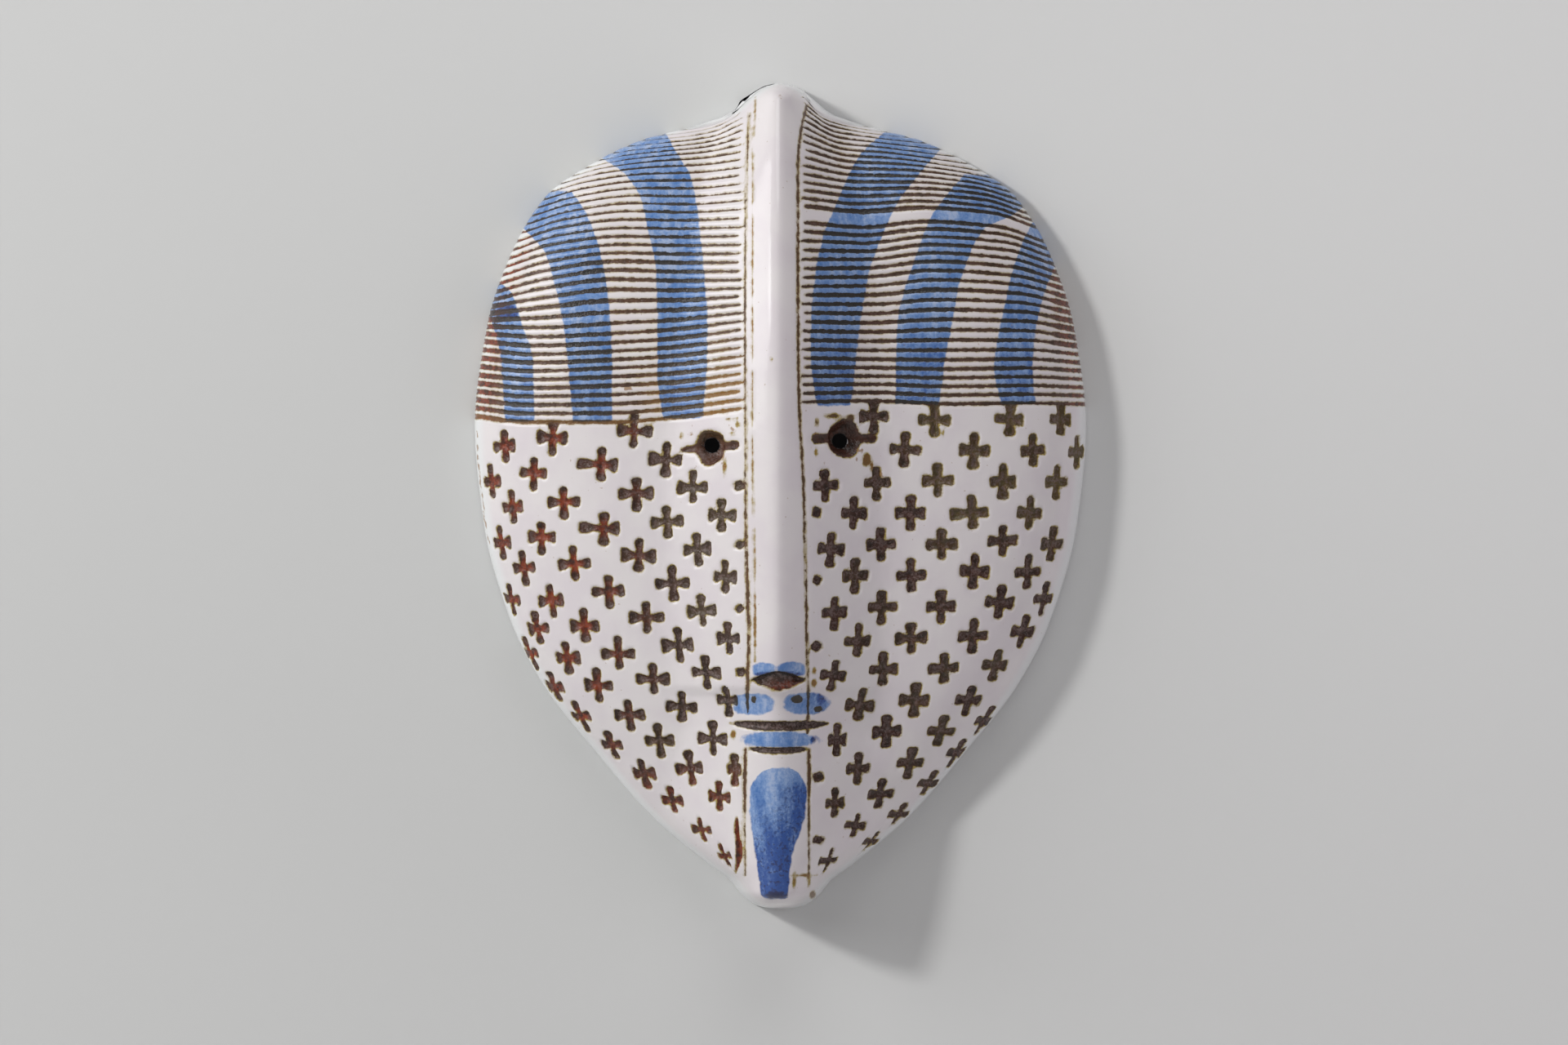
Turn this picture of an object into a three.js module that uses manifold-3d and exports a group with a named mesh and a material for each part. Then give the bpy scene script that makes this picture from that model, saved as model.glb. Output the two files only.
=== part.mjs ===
// Glazed ceramic wall mask: one hollow shell with a ridge from crown to chin, comb lines over the
// forehead and stamped crosses over the cheeks. Millimetres, +Z up, +X to the right as it is seen,
// the wall at y = 0 and the face towards -Y. Heights are measured up from the chin, and the finished
// mesh is lowered so that the origin is on the flat back of the crown, where the mask hangs.
import * as THREE from "three";
import { mergeVertices } from "three/addons/utils/BufferGeometryUtils.js";
import Module from "manifold-3d";

const wasm = await Module();
wasm.setup();

// Whole mask
const maskHeight = 300;
const hangHeight = 294; // the origin, between the nail hole and the top of the crown
const rimLand = 2; // upright edge all round, at the wall
const behindWall = 4; // how far solids and tools reach back before they are trimmed at the wall
const wallDepth = 8; // shell measured straight back from the face, 6.5 across its sloping wall

// Outline: height above the chin, half width
const outline = throughStations([
  [0, 5], [1.2, 9.2], [4.8, 14], [10.1, 18.4], [15.5, 25.7], [33.3, 46.8], [57.1, 67.5],
  [80.9, 86.2], [104.7, 98.3], [140.3, 108.1], [176, 111.3], [211.7, 106.9], [235.5, 99.3],
  [259.3, 85.3], [271.1, 68.4], [279.5, 50.8], [284.2, 33.3], [289, 18.7], [293.7, 12.8],
  [298.5, 6.5], [300, 2],
]);

// Ridge: height above the chin, depth of its crest from the wall
const crest = throughStations([
  [0, 42], [20, 45], [45, 47.5], [66, 50], [76.5, 53.5], [81.5, 57.5], [107, 63], [152, 66],
  [197, 64], [241, 55.5], [270, 45.5], [293, 33], [300, 30],
]);
const ridgeX = -1.2; // the ridge stands a little left of the middle of the outline
const crestRadius = 3;
const chinRadius = 7;
const flankSlope = 0.72;
const crownSlope = 1.07; // the flanks steepen towards the crown
const endRounding = 6.5; // crown end and underside of the chin
const endFace = 0.5; // what the rounding leaves upright at either end

// Cheeks and forehead: one pillow between the ridge and the rim
const pillowDepth = 40;
const pillowTop = 292;
const pillowHigh = 165;
const pillowLow = 150;
const valleyBlend = 4;

// Comb lines, counted up from the cheek: each row is a line and its height at five places across,
// from the foot of the ridge to the rim. The lines between follow smoothly
const lastLine = 37;
const linePlaces = [0, 0.25, 0.5, 0.8, 1];
const grooveDepth = 0.7;
const left = {
  sign: -1,
  foot: 13.5, // from the middle of the ridge to the ends of the comb lines
  lineHeights: lineCurves([
    [0, 181.6, 178.4, 176.7, 176.8, 179], [5, 197.4, 194.5, 193.2, 192.3, 194],
    [10, 213.3, 210.5, 209, 207.8, 209], [15, 228.4, 228.1, 228.7, 225.4, 221.5],
    [20, 244.4, 244.1, 244.4, 241.7, 236.5], [25, 260.4, 259, 259.3, 256.4, 252],
    [30, 275, 272.9, 271.9, 269.7, 266.6], [34, 285.2, 281, 279.3, 278.3, 277.5],
    [37, 291.5, 287.2, 285.1, 283.9, 283.5],
  ]),
  skippedLine: -1,
};
const right = {
  sign: 1,
  foot: 9.8,
  lineHeights: lineCurves([
    [0, 184, 184.5, 183.4, 183.7, 183.4], [5, 199.9, 199.6, 199.4, 199.8, 198.5],
    [10, 216.4, 216.2, 217.7, 217, 213.6], [15, 232.5, 232.8, 235.2, 233.4, 228.4],
    [20, 249.2, 247.6, 249.7, 248, 242.6], [25, 263.9, 261.6, 261.9, 260, 255.4],
    [30, 278.8, 273.9, 272.9, 270.5, 268.5], [34, 289, 282.7, 280.9, 279.4, 278.6],
    [37, 295.1, 289.2, 286.5, 285, 284.5],
  ]),
  skippedLine: 21, // one tooth of the comb left no line here
};

// Stamped crosses: a chequered lattice laid along each curved cheek. Those in "moved" were pressed
// beside their place, by [column, row, across, up], those in "missing" were never pressed, and those
// in "resized" were pressed partly, at a share of the size across and up
left.stamps = {
  width: 12.6,
  columns: 9,
  parity: 1,
  top: 176.6,
  rowPitch: 11.21,
  rowDrop: 1.19,
  start: 9.7,
  pitch: 11.2,
  lean: 0.069,
  fan: 0.018,
  closeUp: 1.5,
  rimShrink: 0.18, // how much narrower the stamps are at the rim
  missing: [[1, 0], [0, 13]],
  moved: [
    [3, 0, 3.8, 0.5], [5, 0, -2.1, 0.5], [7, 0, 1.2, -0.2], [2, 1, 2, 0.2], [4, 1, 2.2, 0.7],
    [8, 1, 2.1, -0.7], [3, 2, 1.8, 0.2], [5, 2, -1.8, -0.5], [6, 3, -1, -0.9], [8, 3, 1.6, -0.5],
    [5, 4, -1.4, -0.6], [4, 5, -1.2, -0.5], [6, 5, -1.4, -1.6], [5, 6, -1.3, -0.8],
    [4, 7, -0.9, -0.9], [8, 7, -0.7, 2.5], [7, 8, 0, 0.5], [4, 9, 1, -0.7], [0, 9, -1.4, 0],
    [1, 10, 1.1, -1.6], [0, 11, -0.2, -2.6], [3, 12, -1.2, 0.6], [1, 12, 1.4, -0.3], [1, 14, -0.5, 0],
  ],
  resized: [
    [0, 5, 0.84, 1], [0, 7, 0.8, 1], [0, 9, 0.72, 0.95], [0, 11, 0.46, 1], [1, 12, 0.81, 1],
    [1, 14, 0.84, 1],
  ],
};
right.stamps = {
  width: 11.3,
  columns: 10,
  parity: 0,
  top: 177.8,
  rowPitch: 11.36,
  rowDrop: 0,
  start: 12.2,
  pitch: 11,
  lean: -0.037,
  fan: 0.011,
  closeUp: 4,
  rimShrink: 0,
  missing: [[0, 0]],
  moved: [
    [2, 0, -2.1, 0.7], [4, 0, -3.2, -0.3], [6, 0, 1.7, 0], [3, 1, -2.2, 0.3], [9, 1, -0.6, -0.4],
    [0, 2, -0.8, -1.3], [2, 2, -1.2, -0.3], [4, 2, -1.6, 0.4], [0, 4, 0.7, -1.7], [6, 4, 0.7, 1.3],
    [5, 5, 1, 1.5], [7, 5, 0.6, 1.2], [0, 6, 1.4, -2], [6, 6, 0.7, 1.5], [1, 7, 0.6, -1.1],
    [5, 7, 1.5, 0.7], [7, 7, 1.2, 0.6], [0, 8, 0.3, -2.2], [4, 8, 1.3, 0.3], [6, 8, 0.8, 0.9],
    [1, 9, 0.4, -1.7], [0, 10, 0.7, -2.9], [6, 10, 1.9, 0], [1, 11, -0.3, -2], [5, 11, 1.7, 0],
    [0, 12, -0.6, -3.1], [4, 12, 2, 0.3], [3, 13, 2.9, 0.7], [0, 14, -1.3, -2.3], [2, 14, 5, 1.7],
  ],
  resized: [[0, 10, 0.75, 0.95], [0, 12, 0.76, 1]],
};
const stampHeight = 12.3;
const armWaist = 3;
const armEnd = 4.3;
const stampDepth = 1.8; // at its middle
const stampReach = 1.2; // the tool above the face
const crossCorners = 12;
const stampRows = 15;
const stampRimGap = 2.4; // a stamp that wasn't moved is at least this far from the rim
const lowestStamp = 14;
const stampLevel = 100; // where the columns' start and pitch are measured
const closeUpBelow = 130; // lower than this the stamps near the rim are lifted
const closeUpReach = 14;
const rimShrinkFrom = 36; // from the rim
const rimShrinkTo = 12;
const lowShrink = 0.25; // how much shorter the lowest stamps are
const lowShrinkFrom = 55; // heights
const lowShrinkTo = 25;
const stampRun = 10; // where the length along the face starts, from the middle of the ridge
const stampRunStep = 0.25;

// Mesh of the face
const ridgeColumns = 2;
const cheekColumns = 6;
const sideColumns = ridgeColumns + cheekColumns;
const evenColumns = 0.45; // 0 crowds the columns at the rim, 1 spaces them evenly
const footShare = 0.7; // of the half width, where the mask is too narrow for the whole ridge
const cheekBands = [[0, 6.5, 2], [6.5, 76.5, 4], [76.5, 81.5, 1]]; // from, to, rows below the nose
const noseRows = 5; // from there up to the comb lines
const crownParts = [0.3, 0.6, 0.85, 1];

// Eyes: the centre and half size of each carved dish, its bar and the hole through its bottom
const eyes = [
  { x: -25.6, z: 167.6, halfAcross: 5.6, halfUp: 6.4, holeX: -24.8, holeZ: 168.3, bar: 24 },
  { x: 23.3, z: 170.8, halfAcross: 6.3, halfUp: 7, holeX: 21.5, holeZ: 169.9, bar: 26 },
];
const eyeHoleRadius = 2.75;
const eyeDepth = 5;
const eyeWiden = 1.4; // how far the dish's tool goes on, so that it passes the curved face
const barHeight = 3.4;
const barDepth = 1.4;
const clearOfEye = 9.5; // no stamp is centred nearer to an eye
const roundSides = 16;

// Nose and mouth: cuts across the ridge, pointed or blunt at their ends, which may rise
const lipCuts = [
  { x: -0.8, z: 83.3, halfLength: 10, above: 2.8, below: 4.1, blunt: 1.8, rise: 0, depth: 2.6 }, // nose
  { x: -0.4, z: 66.3, halfLength: 18.1, above: 1.7, below: 1.6, blunt: 4, rise: 1.1, depth: 1.3 },
  { x: -0.4, z: 57.5, halfLength: 11, above: 1.05, below: 1.15, blunt: 5, rise: 0.7, depth: 1.2 },
];
const lipSteps = 7;

// Hanging hole in the solid crown
const nailRadius = 3.5;
const nailDepth = 12;
const nailHeight = 286.5;

// Hollow
const hollowScale = 0.94; // the outline, drawn in towards its widest height
const hollowLevel = 176;
const hollowInset = 5;
const hollowBottom = 14;
const hollowTop = 279;
const hollowRim = 1.5;
const hollowColumns = 10;
const hollowRows = 10;

// A smooth curve through [position, value] stations that never overshoots them
function throughStations(stations) {
  const last = stations.length - 1;
  const secant = stations.slice(1).map(([p, v], i) => (v - stations[i][1]) / (p - stations[i][0]));
  const slope = stations.map((_, i) => {
    if (i === 0) return secant[0];
    if (i === last) return secant[last - 1];
    const [before, after] = [secant[i - 1], secant[i]];
    return before * after <= 0 ? 0 : (2 * before * after) / (before + after);
  });
  return (position) => {
    const p = THREE.MathUtils.clamp(position, stations[0][0], stations[last][0]);
    const next = Math.max(1, stations.findIndex(([s]) => s >= p));
    const [from, to] = [stations[next - 1], stations[next]];
    const span = to[0] - from[0];
    const w = (p - from[0]) / span;
    return (2 * w ** 3 - 3 * w ** 2 + 1) * from[1]
      + (w ** 3 - 2 * w ** 2 + w) * span * slope[next - 1]
      + (3 * w ** 2 - 2 * w ** 3) * to[1]
      + (w ** 3 - w ** 2) * span * slope[next];
  };
}

// One curve for each place across, from rows of a line and its height at every place
function lineCurves(rows) {
  return linePlaces.map((_, i) => throughStations(rows.map((row) => [row[0], row[i + 1]])));
}

function lerp(from, to, w) {
  return from + (to - from) * w;
}

function smoothStep(value, from, to) {
  return THREE.MathUtils.smoothstep(value, from, to);
}

function smoothMax(a, b, blend) {
  return 0.5 * (a + b + Math.hypot(a - b, blend));
}

// Falls from 1 at the ridge to 0 at the rim, steeply at the end
function rimFade(across) {
  return (1 - Math.min(1, Math.abs(across)) ** 3) ** 0.6;
}

function crestDepth(z) {
  const over = Math.max(0, z - (maskHeight - endRounding + endFace), endRounding - endFace - z);
  return crest(z) * Math.sqrt(1 - (over / endRounding) ** 2);
}

// How far the ridge has fallen away at a distance from its middle
function flankDrop(x, z) {
  const radius = lerp(chinRadius, crestRadius, smoothStep(z, 50, 90));
  const slope = lerp(flankSlope, crownSlope, smoothStep(z, 245, 285));
  return slope * (Math.hypot(x - ridgeX, radius) - radius);
}

function pillow(z) {
  const up = THREE.MathUtils.clamp((z - pillowHigh) / (pillowTop - pillowHigh), 0, 1);
  const down = THREE.MathUtils.clamp((pillowLow - z) / pillowLow, 0, 1);
  return pillowDepth * (1 - up ** 3) ** 0.6 * (1 - down ** 2) ** 0.7;
}

// Depth of the outer face from the wall, before any line or stamp
function faceDepth(x, z) {
  const body = smoothMax(crestDepth(z) - flankDrop(x, z), pillow(z), valleyBlend);
  return rimLand + (body - rimLand) * rimFade(x / outline(z));
}

function faceNormal(x, z) {
  const step = 0.5;
  const acrossSlope = (faceDepth(x + step, z) - faceDepth(x - step, z)) / (2 * step);
  const upSlope = (faceDepth(x, z + step) - faceDepth(x, z - step)) / (2 * step);
  return new THREE.Vector3(-acrossSlope, -1, -upSlope).normalize();
}

// The mesh rows follow the comb lines. Levels 0 to 37 are the lines, -1 is the chin's end and 38 the crown's
function rowHeight(side, level, t) {
  const line = THREE.MathUtils.clamp(level, 0, lastLine);
  const height = throughStations(linePlaces.map((place, i) => [place, side.lineHeights[i](line)]))(t);
  if (level < 0) return height * (1 + level);
  return level > lastLine ? lerp(height, maskHeight, level - lastLine) : height;
}

// Point of the outer face at a level, and at a column counted out from the middle of the ridge
function facePoint(side, level, column) {
  const rimX = outline(rowHeight(side, level, 1));
  const foot = Math.min(side.foot, footShare * rimX);
  if (column <= ridgeColumns) {
    const w = column / ridgeColumns;
    const middleHeight = (rowHeight(left, level, 0) + rowHeight(right, level, 0)) / 2;
    return { x: ridgeX + side.sign * foot * w, z: lerp(middleHeight, rowHeight(side, level, 0), w) };
  }
  const s = (column - ridgeColumns) / cheekColumns;
  const t = lerp(Math.sin((Math.PI / 2) * s), s, evenColumns);
  return { x: lerp(ridgeX + side.sign * foot, side.sign * rimX, t), z: rowHeight(side, level, t) };
}

// Levels of the mesh rows from chin to crown: a groove and a crest row for every comb line
function rowLevels() {
  const base = (rowHeight(left, 0, 0) + rowHeight(right, 0, 0)) / 2;
  const noseHeight = cheekBands.at(-1)[1];
  const levels = [...cheekBands, [noseHeight, base, noseRows]].flatMap(([from, to, steps]) =>
    Array.from({ length: steps }, (_, i) => lerp(from, to, i / steps) / base - 1));
  for (let line = 0; line <= lastLine; line += 0.5) levels.push(line);
  for (const part of crownParts) levels.push(lastLine + part);
  return levels;
}

function isGroove(side, level) {
  return Number.isInteger(level) && level >= 0 && level <= lastLine && level !== side.skippedLine;
}

// A closed block of columns by rows, one cell thick, whose corners are moved by place()
function warpedBlock(columns, rows, place) {
  const block = new THREE.BoxGeometry(columns, 1, rows, columns, 1, rows);
  block.deleteAttribute("normal");
  block.deleteAttribute("uv");
  const merged = mergeVertices(block);
  const position = merged.getAttribute("position");
  for (let i = 0; i < position.count; i += 1) {
    const column = Math.round(position.getX(i) + columns / 2);
    const row = Math.round(position.getZ(i) + rows / 2);
    position.setXYZ(i, ...place(column, row, position.getY(i) < 0));
  }
  return merged;
}

function solidOf(geometry) {
  const bare = geometry.clone();
  bare.deleteAttribute("normal");
  bare.deleteAttribute("uv");
  const merged = mergeVertices(bare, 1e-4);
  return new wasm.Manifold(new wasm.Mesh({
    numProp: 3,
    vertProperties: new Float32Array(merged.getAttribute("position").array),
    triVerts: new Uint32Array(merged.index.array),
  }));
}

function geometryOf(solid) {
  const mesh = solid.getMesh();
  const geometry = new THREE.BufferGeometry();
  geometry.setAttribute("position", new THREE.BufferAttribute(mesh.vertProperties, 3));
  geometry.setIndex(new THREE.BufferAttribute(mesh.triVerts, 1));
  return geometry;
}

// The whole mask as a solid block with its comb lines, trimmed flat at the wall
function outerBlock() {
  const levels = rowLevels();
  const slab = new THREE.BoxGeometry(2 * maskHeight, 4 * behindWall, 2 * maskHeight);
  slab.translate(0, 2 * behindWall, maskHeight / 2);
  const block = solidOf(warpedBlock(2 * sideColumns, levels.length - 1, (column, row, isFront) => {
    const side = column < sideColumns ? left : right;
    const fromRidge = Math.abs(column - sideColumns);
    const { x, z } = facePoint(side, levels[row], fromRidge);
    if (!isFront) return [x, behindWall, z];
    const groove = isGroove(side, levels[row]) && fromRidge > ridgeColumns ? grooveDepth : 0;
    return [x, groove - faceDepth(x, z), z];
  }));
  return block.subtract(solidOf(slab));
}

// The hollow behind the face, open at the wall
function hollowBlock() {
  const middle = (hollowTop + hollowBottom) / 2;
  return solidOf(warpedBlock(hollowColumns, hollowRows, (column, row, isFront) => {
    const z = lerp(hollowBottom, hollowTop, 0.5 - 0.5 * Math.cos((Math.PI * row) / hollowRows));
    const halfWidth = outline(hollowLevel + (z - hollowLevel) / hollowScale) - hollowInset;
    const across = Math.sin(((column / hollowColumns) * 2 - 1) * (Math.PI / 2));
    const x = halfWidth * across;
    if (!isFront) return [x, behindWall, z];
    const along = Math.abs(z - middle) / (hollowTop - middle + 1);
    const body = smoothMax(crest(z) - flankDrop(x, z), pillow(z), valleyBlend) - wallDepth;
    return [x, -lerp(hollowRim, body, rimFade(across) * Math.sqrt(1 - along ** 8)), z];
  }));
}

// Places a tool whose own +Z points out of the face at (x, z), its origin a little below the face
function onFace(geometry, x, z, below) {
  const normal = faceNormal(x, z);
  const across = new THREE.Vector3(0, 0, 1).cross(normal).normalize();
  const up = normal.clone().cross(across);
  const origin = new THREE.Vector3(x, -faceDepth(x, z), z).addScaledVector(normal, -below);
  const matrix = new THREE.Matrix4().makeBasis(across, up, normal).setPosition(origin);
  return solidOf(geometry.applyMatrix4(matrix));
}

function extruded(points, height) {
  return new THREE.ExtrudeGeometry(new THREE.Shape(points), { depth: height, bevelEnabled: false });
}

// Size across and up between a corner of the cross and the corner opposite it
function crossCorner(x, y, width, height) {
  if (Math.abs(x) > Math.abs(y) + 0.1) return [width, armEnd];
  if (Math.abs(y) > Math.abs(x) + 0.1) return [armEnd, height];
  return [armWaist, armWaist];
}

// A cross, cut to a point in the middle: a cone whose twelve corners are drawn out into four arms
function crossTool(width, height) {
  const toolHeight = stampDepth + stampReach;
  const scale = toolHeight / stampDepth;
  const cone = new THREE.ConeGeometry(1, toolHeight, crossCorners, 1, false, Math.PI / crossCorners);
  cone.rotateX(-Math.PI / 2);
  const position = cone.getAttribute("position");
  for (let i = 0; i < position.count; i += 1) {
    const [x, y] = [position.getX(i), position.getY(i)];
    if (Math.hypot(x, y) < 0.5) continue; // the point, and the middle of the base
    const [sizeX, sizeY] = crossCorner(x, y, width, height);
    position.setX(i, (Math.sign(x) * scale * sizeX) / 2);
    position.setY(i, (Math.sign(y) * scale * sizeY) / 2);
  }
  return cone.translate(0, 0, toolHeight / 2);
}

// Follows the face outwards from the ridge at one height until the given length is used up
function xAlongFace(side, z, length) {
  let run = stampRun;
  let used = 0;
  while (used < length && run < outline(z)) {
    const before = faceDepth(ridgeX + side.sign * run, z);
    const after = faceDepth(ridgeX + side.sign * (run + stampRunStep), z);
    used += Math.hypot(stampRunStep, after - before);
    run += stampRunStep;
  }
  return ridgeX + side.sign * run;
}

function isAt(column, row) {
  return (place) => place[0] === column && place[1] === row;
}

// The size across and up of one stamp, at a height and at a distance from the rim
function stampSize(side, column, row, z, rimGap) {
  const [partAcross, partUp] = side.stamps.resized.find(isAt(column, row))?.slice(2) ?? [1, 1];
  const narrower = 1 - side.stamps.rimShrink * (1 - smoothStep(rimGap, rimShrinkTo, rimShrinkFrom));
  const shorter = 1 - lowShrink * (1 - smoothStep(z, lowShrinkTo, lowShrinkFrom));
  return [side.stamps.width * partAcross * narrower, stampHeight * partUp * shorter];
}

// Centres and sizes of the stamps on one cheek
function stampPlaces(side) {
  const { top, rowPitch, rowDrop, parity, columns, start, pitch, lean, fan, closeUp } = side.stamps;
  const places = [];
  for (let column = 0; column < columns; column += 1) {
    for (let row = 0; row < stampRows; row += 1) {
      const z = top - rowPitch * row - rowDrop * column;
      const isPressed = (column + row) % 2 === parity && z > lowestStamp;
      if (!isPressed || side.stamps.missing.some(isAt(column, row))) continue;
      const rise = z - stampLevel;
      const x = xAlongFace(side, z, start + lean * rise + column * (pitch + fan * rise));
      const rimGap = outline(z) - Math.abs(x);
      const moved = side.stamps.moved.find(isAt(column, row));
      const isOnEye = eyes.some((eye) => Math.hypot(x - eye.x, z - eye.z) < clearOfEye);
      if (isOnEye || (rimGap <= stampRimGap && !moved)) continue;
      const lift = z < closeUpBelow ? closeUp * Math.max(0, 1 - rimGap / closeUpReach) : 0;
      const [across, up] = moved ? moved.slice(2) : [0, 0];
      places.push({ x: x + across, z: z + lift + up, size: stampSize(side, column, row, z, rimGap) });
    }
  }
  return places;
}

function stampTools() {
  return [left, right].flatMap(stampPlaces).map(({ x, z, size }) =>
    onFace(crossTool(...size), x, z, stampDepth));
}

// Each eye: a carved dish, a short bar to either side, and a hole right through
function eyeTools() {
  return eyes.flatMap(({ x, z, halfAcross, halfUp, holeX, holeZ, bar }) => {
    const dishHeight = eyeDepth * eyeWiden;
    const dishRadius = lerp(eyeHoleRadius, halfUp, eyeWiden);
    const dish = new THREE.CylinderGeometry(dishRadius, eyeHoleRadius, dishHeight, roundSides);
    dish.rotateX(Math.PI / 2);
    dish.scale(halfAcross / halfUp, 1, 1);
    dish.translate(0, 0, dishHeight / 2);
    const corners = [[-1, -1], [1, -1], [1, 1], [-1, 1]].map(([signX, signZ]) =>
      new THREE.Vector2((signX * bar) / 2, (signZ * barHeight) / 2));
    const hole = new THREE.CylinderGeometry(eyeHoleRadius, eyeHoleRadius, 2 * pillowDepth, roundSides);
    hole.translate(holeX, -pillowDepth, holeZ);
    return [
      onFace(dish, x, z, eyeDepth),
      onFace(extruded(corners, 2 * barDepth), x, z, barDepth),
      solidOf(hole),
    ];
  });
}

// A cut of even depth over the ridge
function lipTool(block, { x, z, halfLength, above, below, blunt, rise, depth }) {
  const lens = [1, -1].flatMap((sign) => Array.from({ length: lipSteps }, (_, i) => {
    const along = sign * lerp(1, -1, i / lipSteps);
    const half = (sign > 0 ? above : below) * (1 - Math.abs(along) ** blunt);
    return new THREE.Vector2(halfLength * along, rise * along ** 2 + sign * half);
  }));
  const prism = extruded(lens, crest(z));
  prism.rotateX(Math.PI / 2);
  prism.translate(x, -crest(z) / 2, z);
  return solidOf(prism).subtract(block.translate([0, depth, 0]));
}

function nailTool() {
  const hole = new THREE.CylinderGeometry(nailRadius, nailRadius, nailDepth + behindWall, roundSides);
  hole.translate(0, (behindWall - nailDepth) / 2, nailHeight);
  return solidOf(hole);
}

function maskGeometry() {
  const block = outerBlock();
  const tools = [
    hollowBlock(),
    nailTool(),
    ...eyeTools(),
    ...lipCuts.map((cut) => lipTool(block, cut)),
    ...stampTools(),
  ];
  const body = block.subtract(wasm.Manifold.union(tools));
  return geometryOf(body).translate(0, 0, -hangHeight);
}

const glaze = new THREE.MeshStandardMaterial({ color: 0xe4e0e4, roughness: 0.2, metalness: 0 });
const mask = new THREE.Mesh(maskGeometry(), glaze);
mask.name = "mask_body";

const group = new THREE.Group();
group.add(mask);

export default group;
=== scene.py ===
import math
import random

import bmesh
import bpy
import numpy as np
from mathutils import Matrix, Vector


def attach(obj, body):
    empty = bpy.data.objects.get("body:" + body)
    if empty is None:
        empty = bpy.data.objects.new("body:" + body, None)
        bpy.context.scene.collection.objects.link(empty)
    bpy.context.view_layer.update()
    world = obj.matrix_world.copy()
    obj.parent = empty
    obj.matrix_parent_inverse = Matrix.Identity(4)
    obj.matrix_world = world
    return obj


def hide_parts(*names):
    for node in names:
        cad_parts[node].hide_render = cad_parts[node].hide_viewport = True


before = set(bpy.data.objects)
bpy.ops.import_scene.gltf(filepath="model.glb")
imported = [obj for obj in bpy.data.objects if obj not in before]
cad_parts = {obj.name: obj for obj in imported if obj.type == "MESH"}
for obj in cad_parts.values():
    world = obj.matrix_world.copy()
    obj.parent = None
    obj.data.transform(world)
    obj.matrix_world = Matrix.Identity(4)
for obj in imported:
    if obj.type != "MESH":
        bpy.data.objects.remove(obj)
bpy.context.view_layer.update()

# Sizes are in millimetres and heights are counted up from the chin, until a point is placed.
# The wall is at y = 0 and the face looks towards -Y.
metres = 0.001

form = {
    "height": 300,
    "hangHeight": 294,  # the origin, on the back of the crown
    "rimLand": 2,  # upright edge all round, at the wall
    "outline": [[0, 5], [1.2, 9.2], [4.8, 14], [10.1, 18.4], [15.5, 25.7], [33.3, 46.8], [57.1, 67.5],
                [80.9, 86.2], [104.7, 98.3], [140.3, 108.1], [176, 111.3], [211.7, 106.9], [235.5, 99.3],
                [259.3, 85.3], [271.1, 68.4], [279.5, 50.8], [284.2, 33.3], [289, 18.7], [293.7, 12.8],
                [298.5, 6.5], [300, 2]],  # height, half width
    "crest": [[0, 42], [20, 45], [45, 47.5], [66, 50], [76.5, 53.5], [81.5, 57.5], [107, 63], [152, 66],
              [197, 64], [241, 55.5], [270, 45.5], [293, 33], [300, 30]],  # height, depth of the ridge
    "ridgeX": -1.2,
    "crestRadius": 3,
    "chinRadius": 7,
    "noseStart": (50, 90),  # heights between which the one radius becomes the other
    "flankSlope": 0.72,
    "crownSlope": 1.07,
    "crownStart": (245, 285),  # and between which the one slope does
    "endRounding": 6.5,
    "endReach": 6,  # the rounding starts this far from the ridge's ends
    "pillowDepth": 40,
    "pillowTop": 292,
    "pillowHigh": 165,
    "pillowLow": 150,
    "valleyBlend": 4,
}


# The form of the face
def through(stations):  # a smooth curve through (place, value) stations that never overshoots them
    places, values = zip(*stations)
    spans = np.diff(places)
    secants = [(values[i + 1] - values[i]) / span for i, span in enumerate(spans)]
    slopes = [secants[0]]
    for before, after in zip(secants, secants[1:]):
        isSteady = before * after > 0
        slopes.append(np.where(isSteady, 2 * before * after / np.where(isSteady, before + after, 1), 0))
    slopes.append(secants[-1])

    def curve(at):
        at = np.clip(at, places[0], places[-1])
        result = values[0]
        for i, span in enumerate(spans):
            w = (at - places[i]) / span
            piece = ((2 * w**3 - 3 * w**2 + 1) * values[i] + (w**3 - 2 * w**2 + w) * span * slopes[i]
                     + (3 * w**2 - 2 * w**3) * values[i + 1] + (w**3 - w**2) * span * slopes[i + 1])
            result = np.where(at >= places[i], piece, result)
        return result

    return curve


outline = through(form["outline"])
crest = through(form["crest"])


def ofRows(rows, item, at):  # the curve through one item of rows that start with their place
    return through([(row[0], row[item]) for row in rows])(at)


def lerp(start, end, w):
    return start + (end - start) * w


def fadeIn(value, low, high):  # from 0 to 1, smoothly
    w = np.clip((value - low) / (high - low), 0, 1)
    return w * w * (3 - 2 * w)


def fadeOut(value, low, high):
    return 1 - fadeIn(value, low, high)


def rimFade(across):  # from 1 at the ridge to 0 at the rim, steeply at the end
    return (1 - np.minimum(1, np.abs(across)) ** 3) ** 0.6


def crestDepth(z):
    reach = form["endReach"]
    over = np.maximum(0, np.maximum(z - (form["height"] - reach), reach - z))
    return crest(z) * np.sqrt(1 - (over / form["endRounding"]) ** 2)


def flankDrop(x, z):
    radius = lerp(form["chinRadius"], form["crestRadius"], fadeIn(z, *form["noseStart"]))
    slope = lerp(form["flankSlope"], form["crownSlope"], fadeIn(z, *form["crownStart"]))
    return slope * (np.hypot(x - form["ridgeX"], radius) - radius)


def pillow(z):
    up = np.clip((z - form["pillowHigh"]) / (form["pillowTop"] - form["pillowHigh"]), 0, 1)
    down = np.clip((form["pillowLow"] - z) / form["pillowLow"], 0, 1)
    return form["pillowDepth"] * (1 - up**3) ** 0.6 * (1 - down**2) ** 0.7


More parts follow.
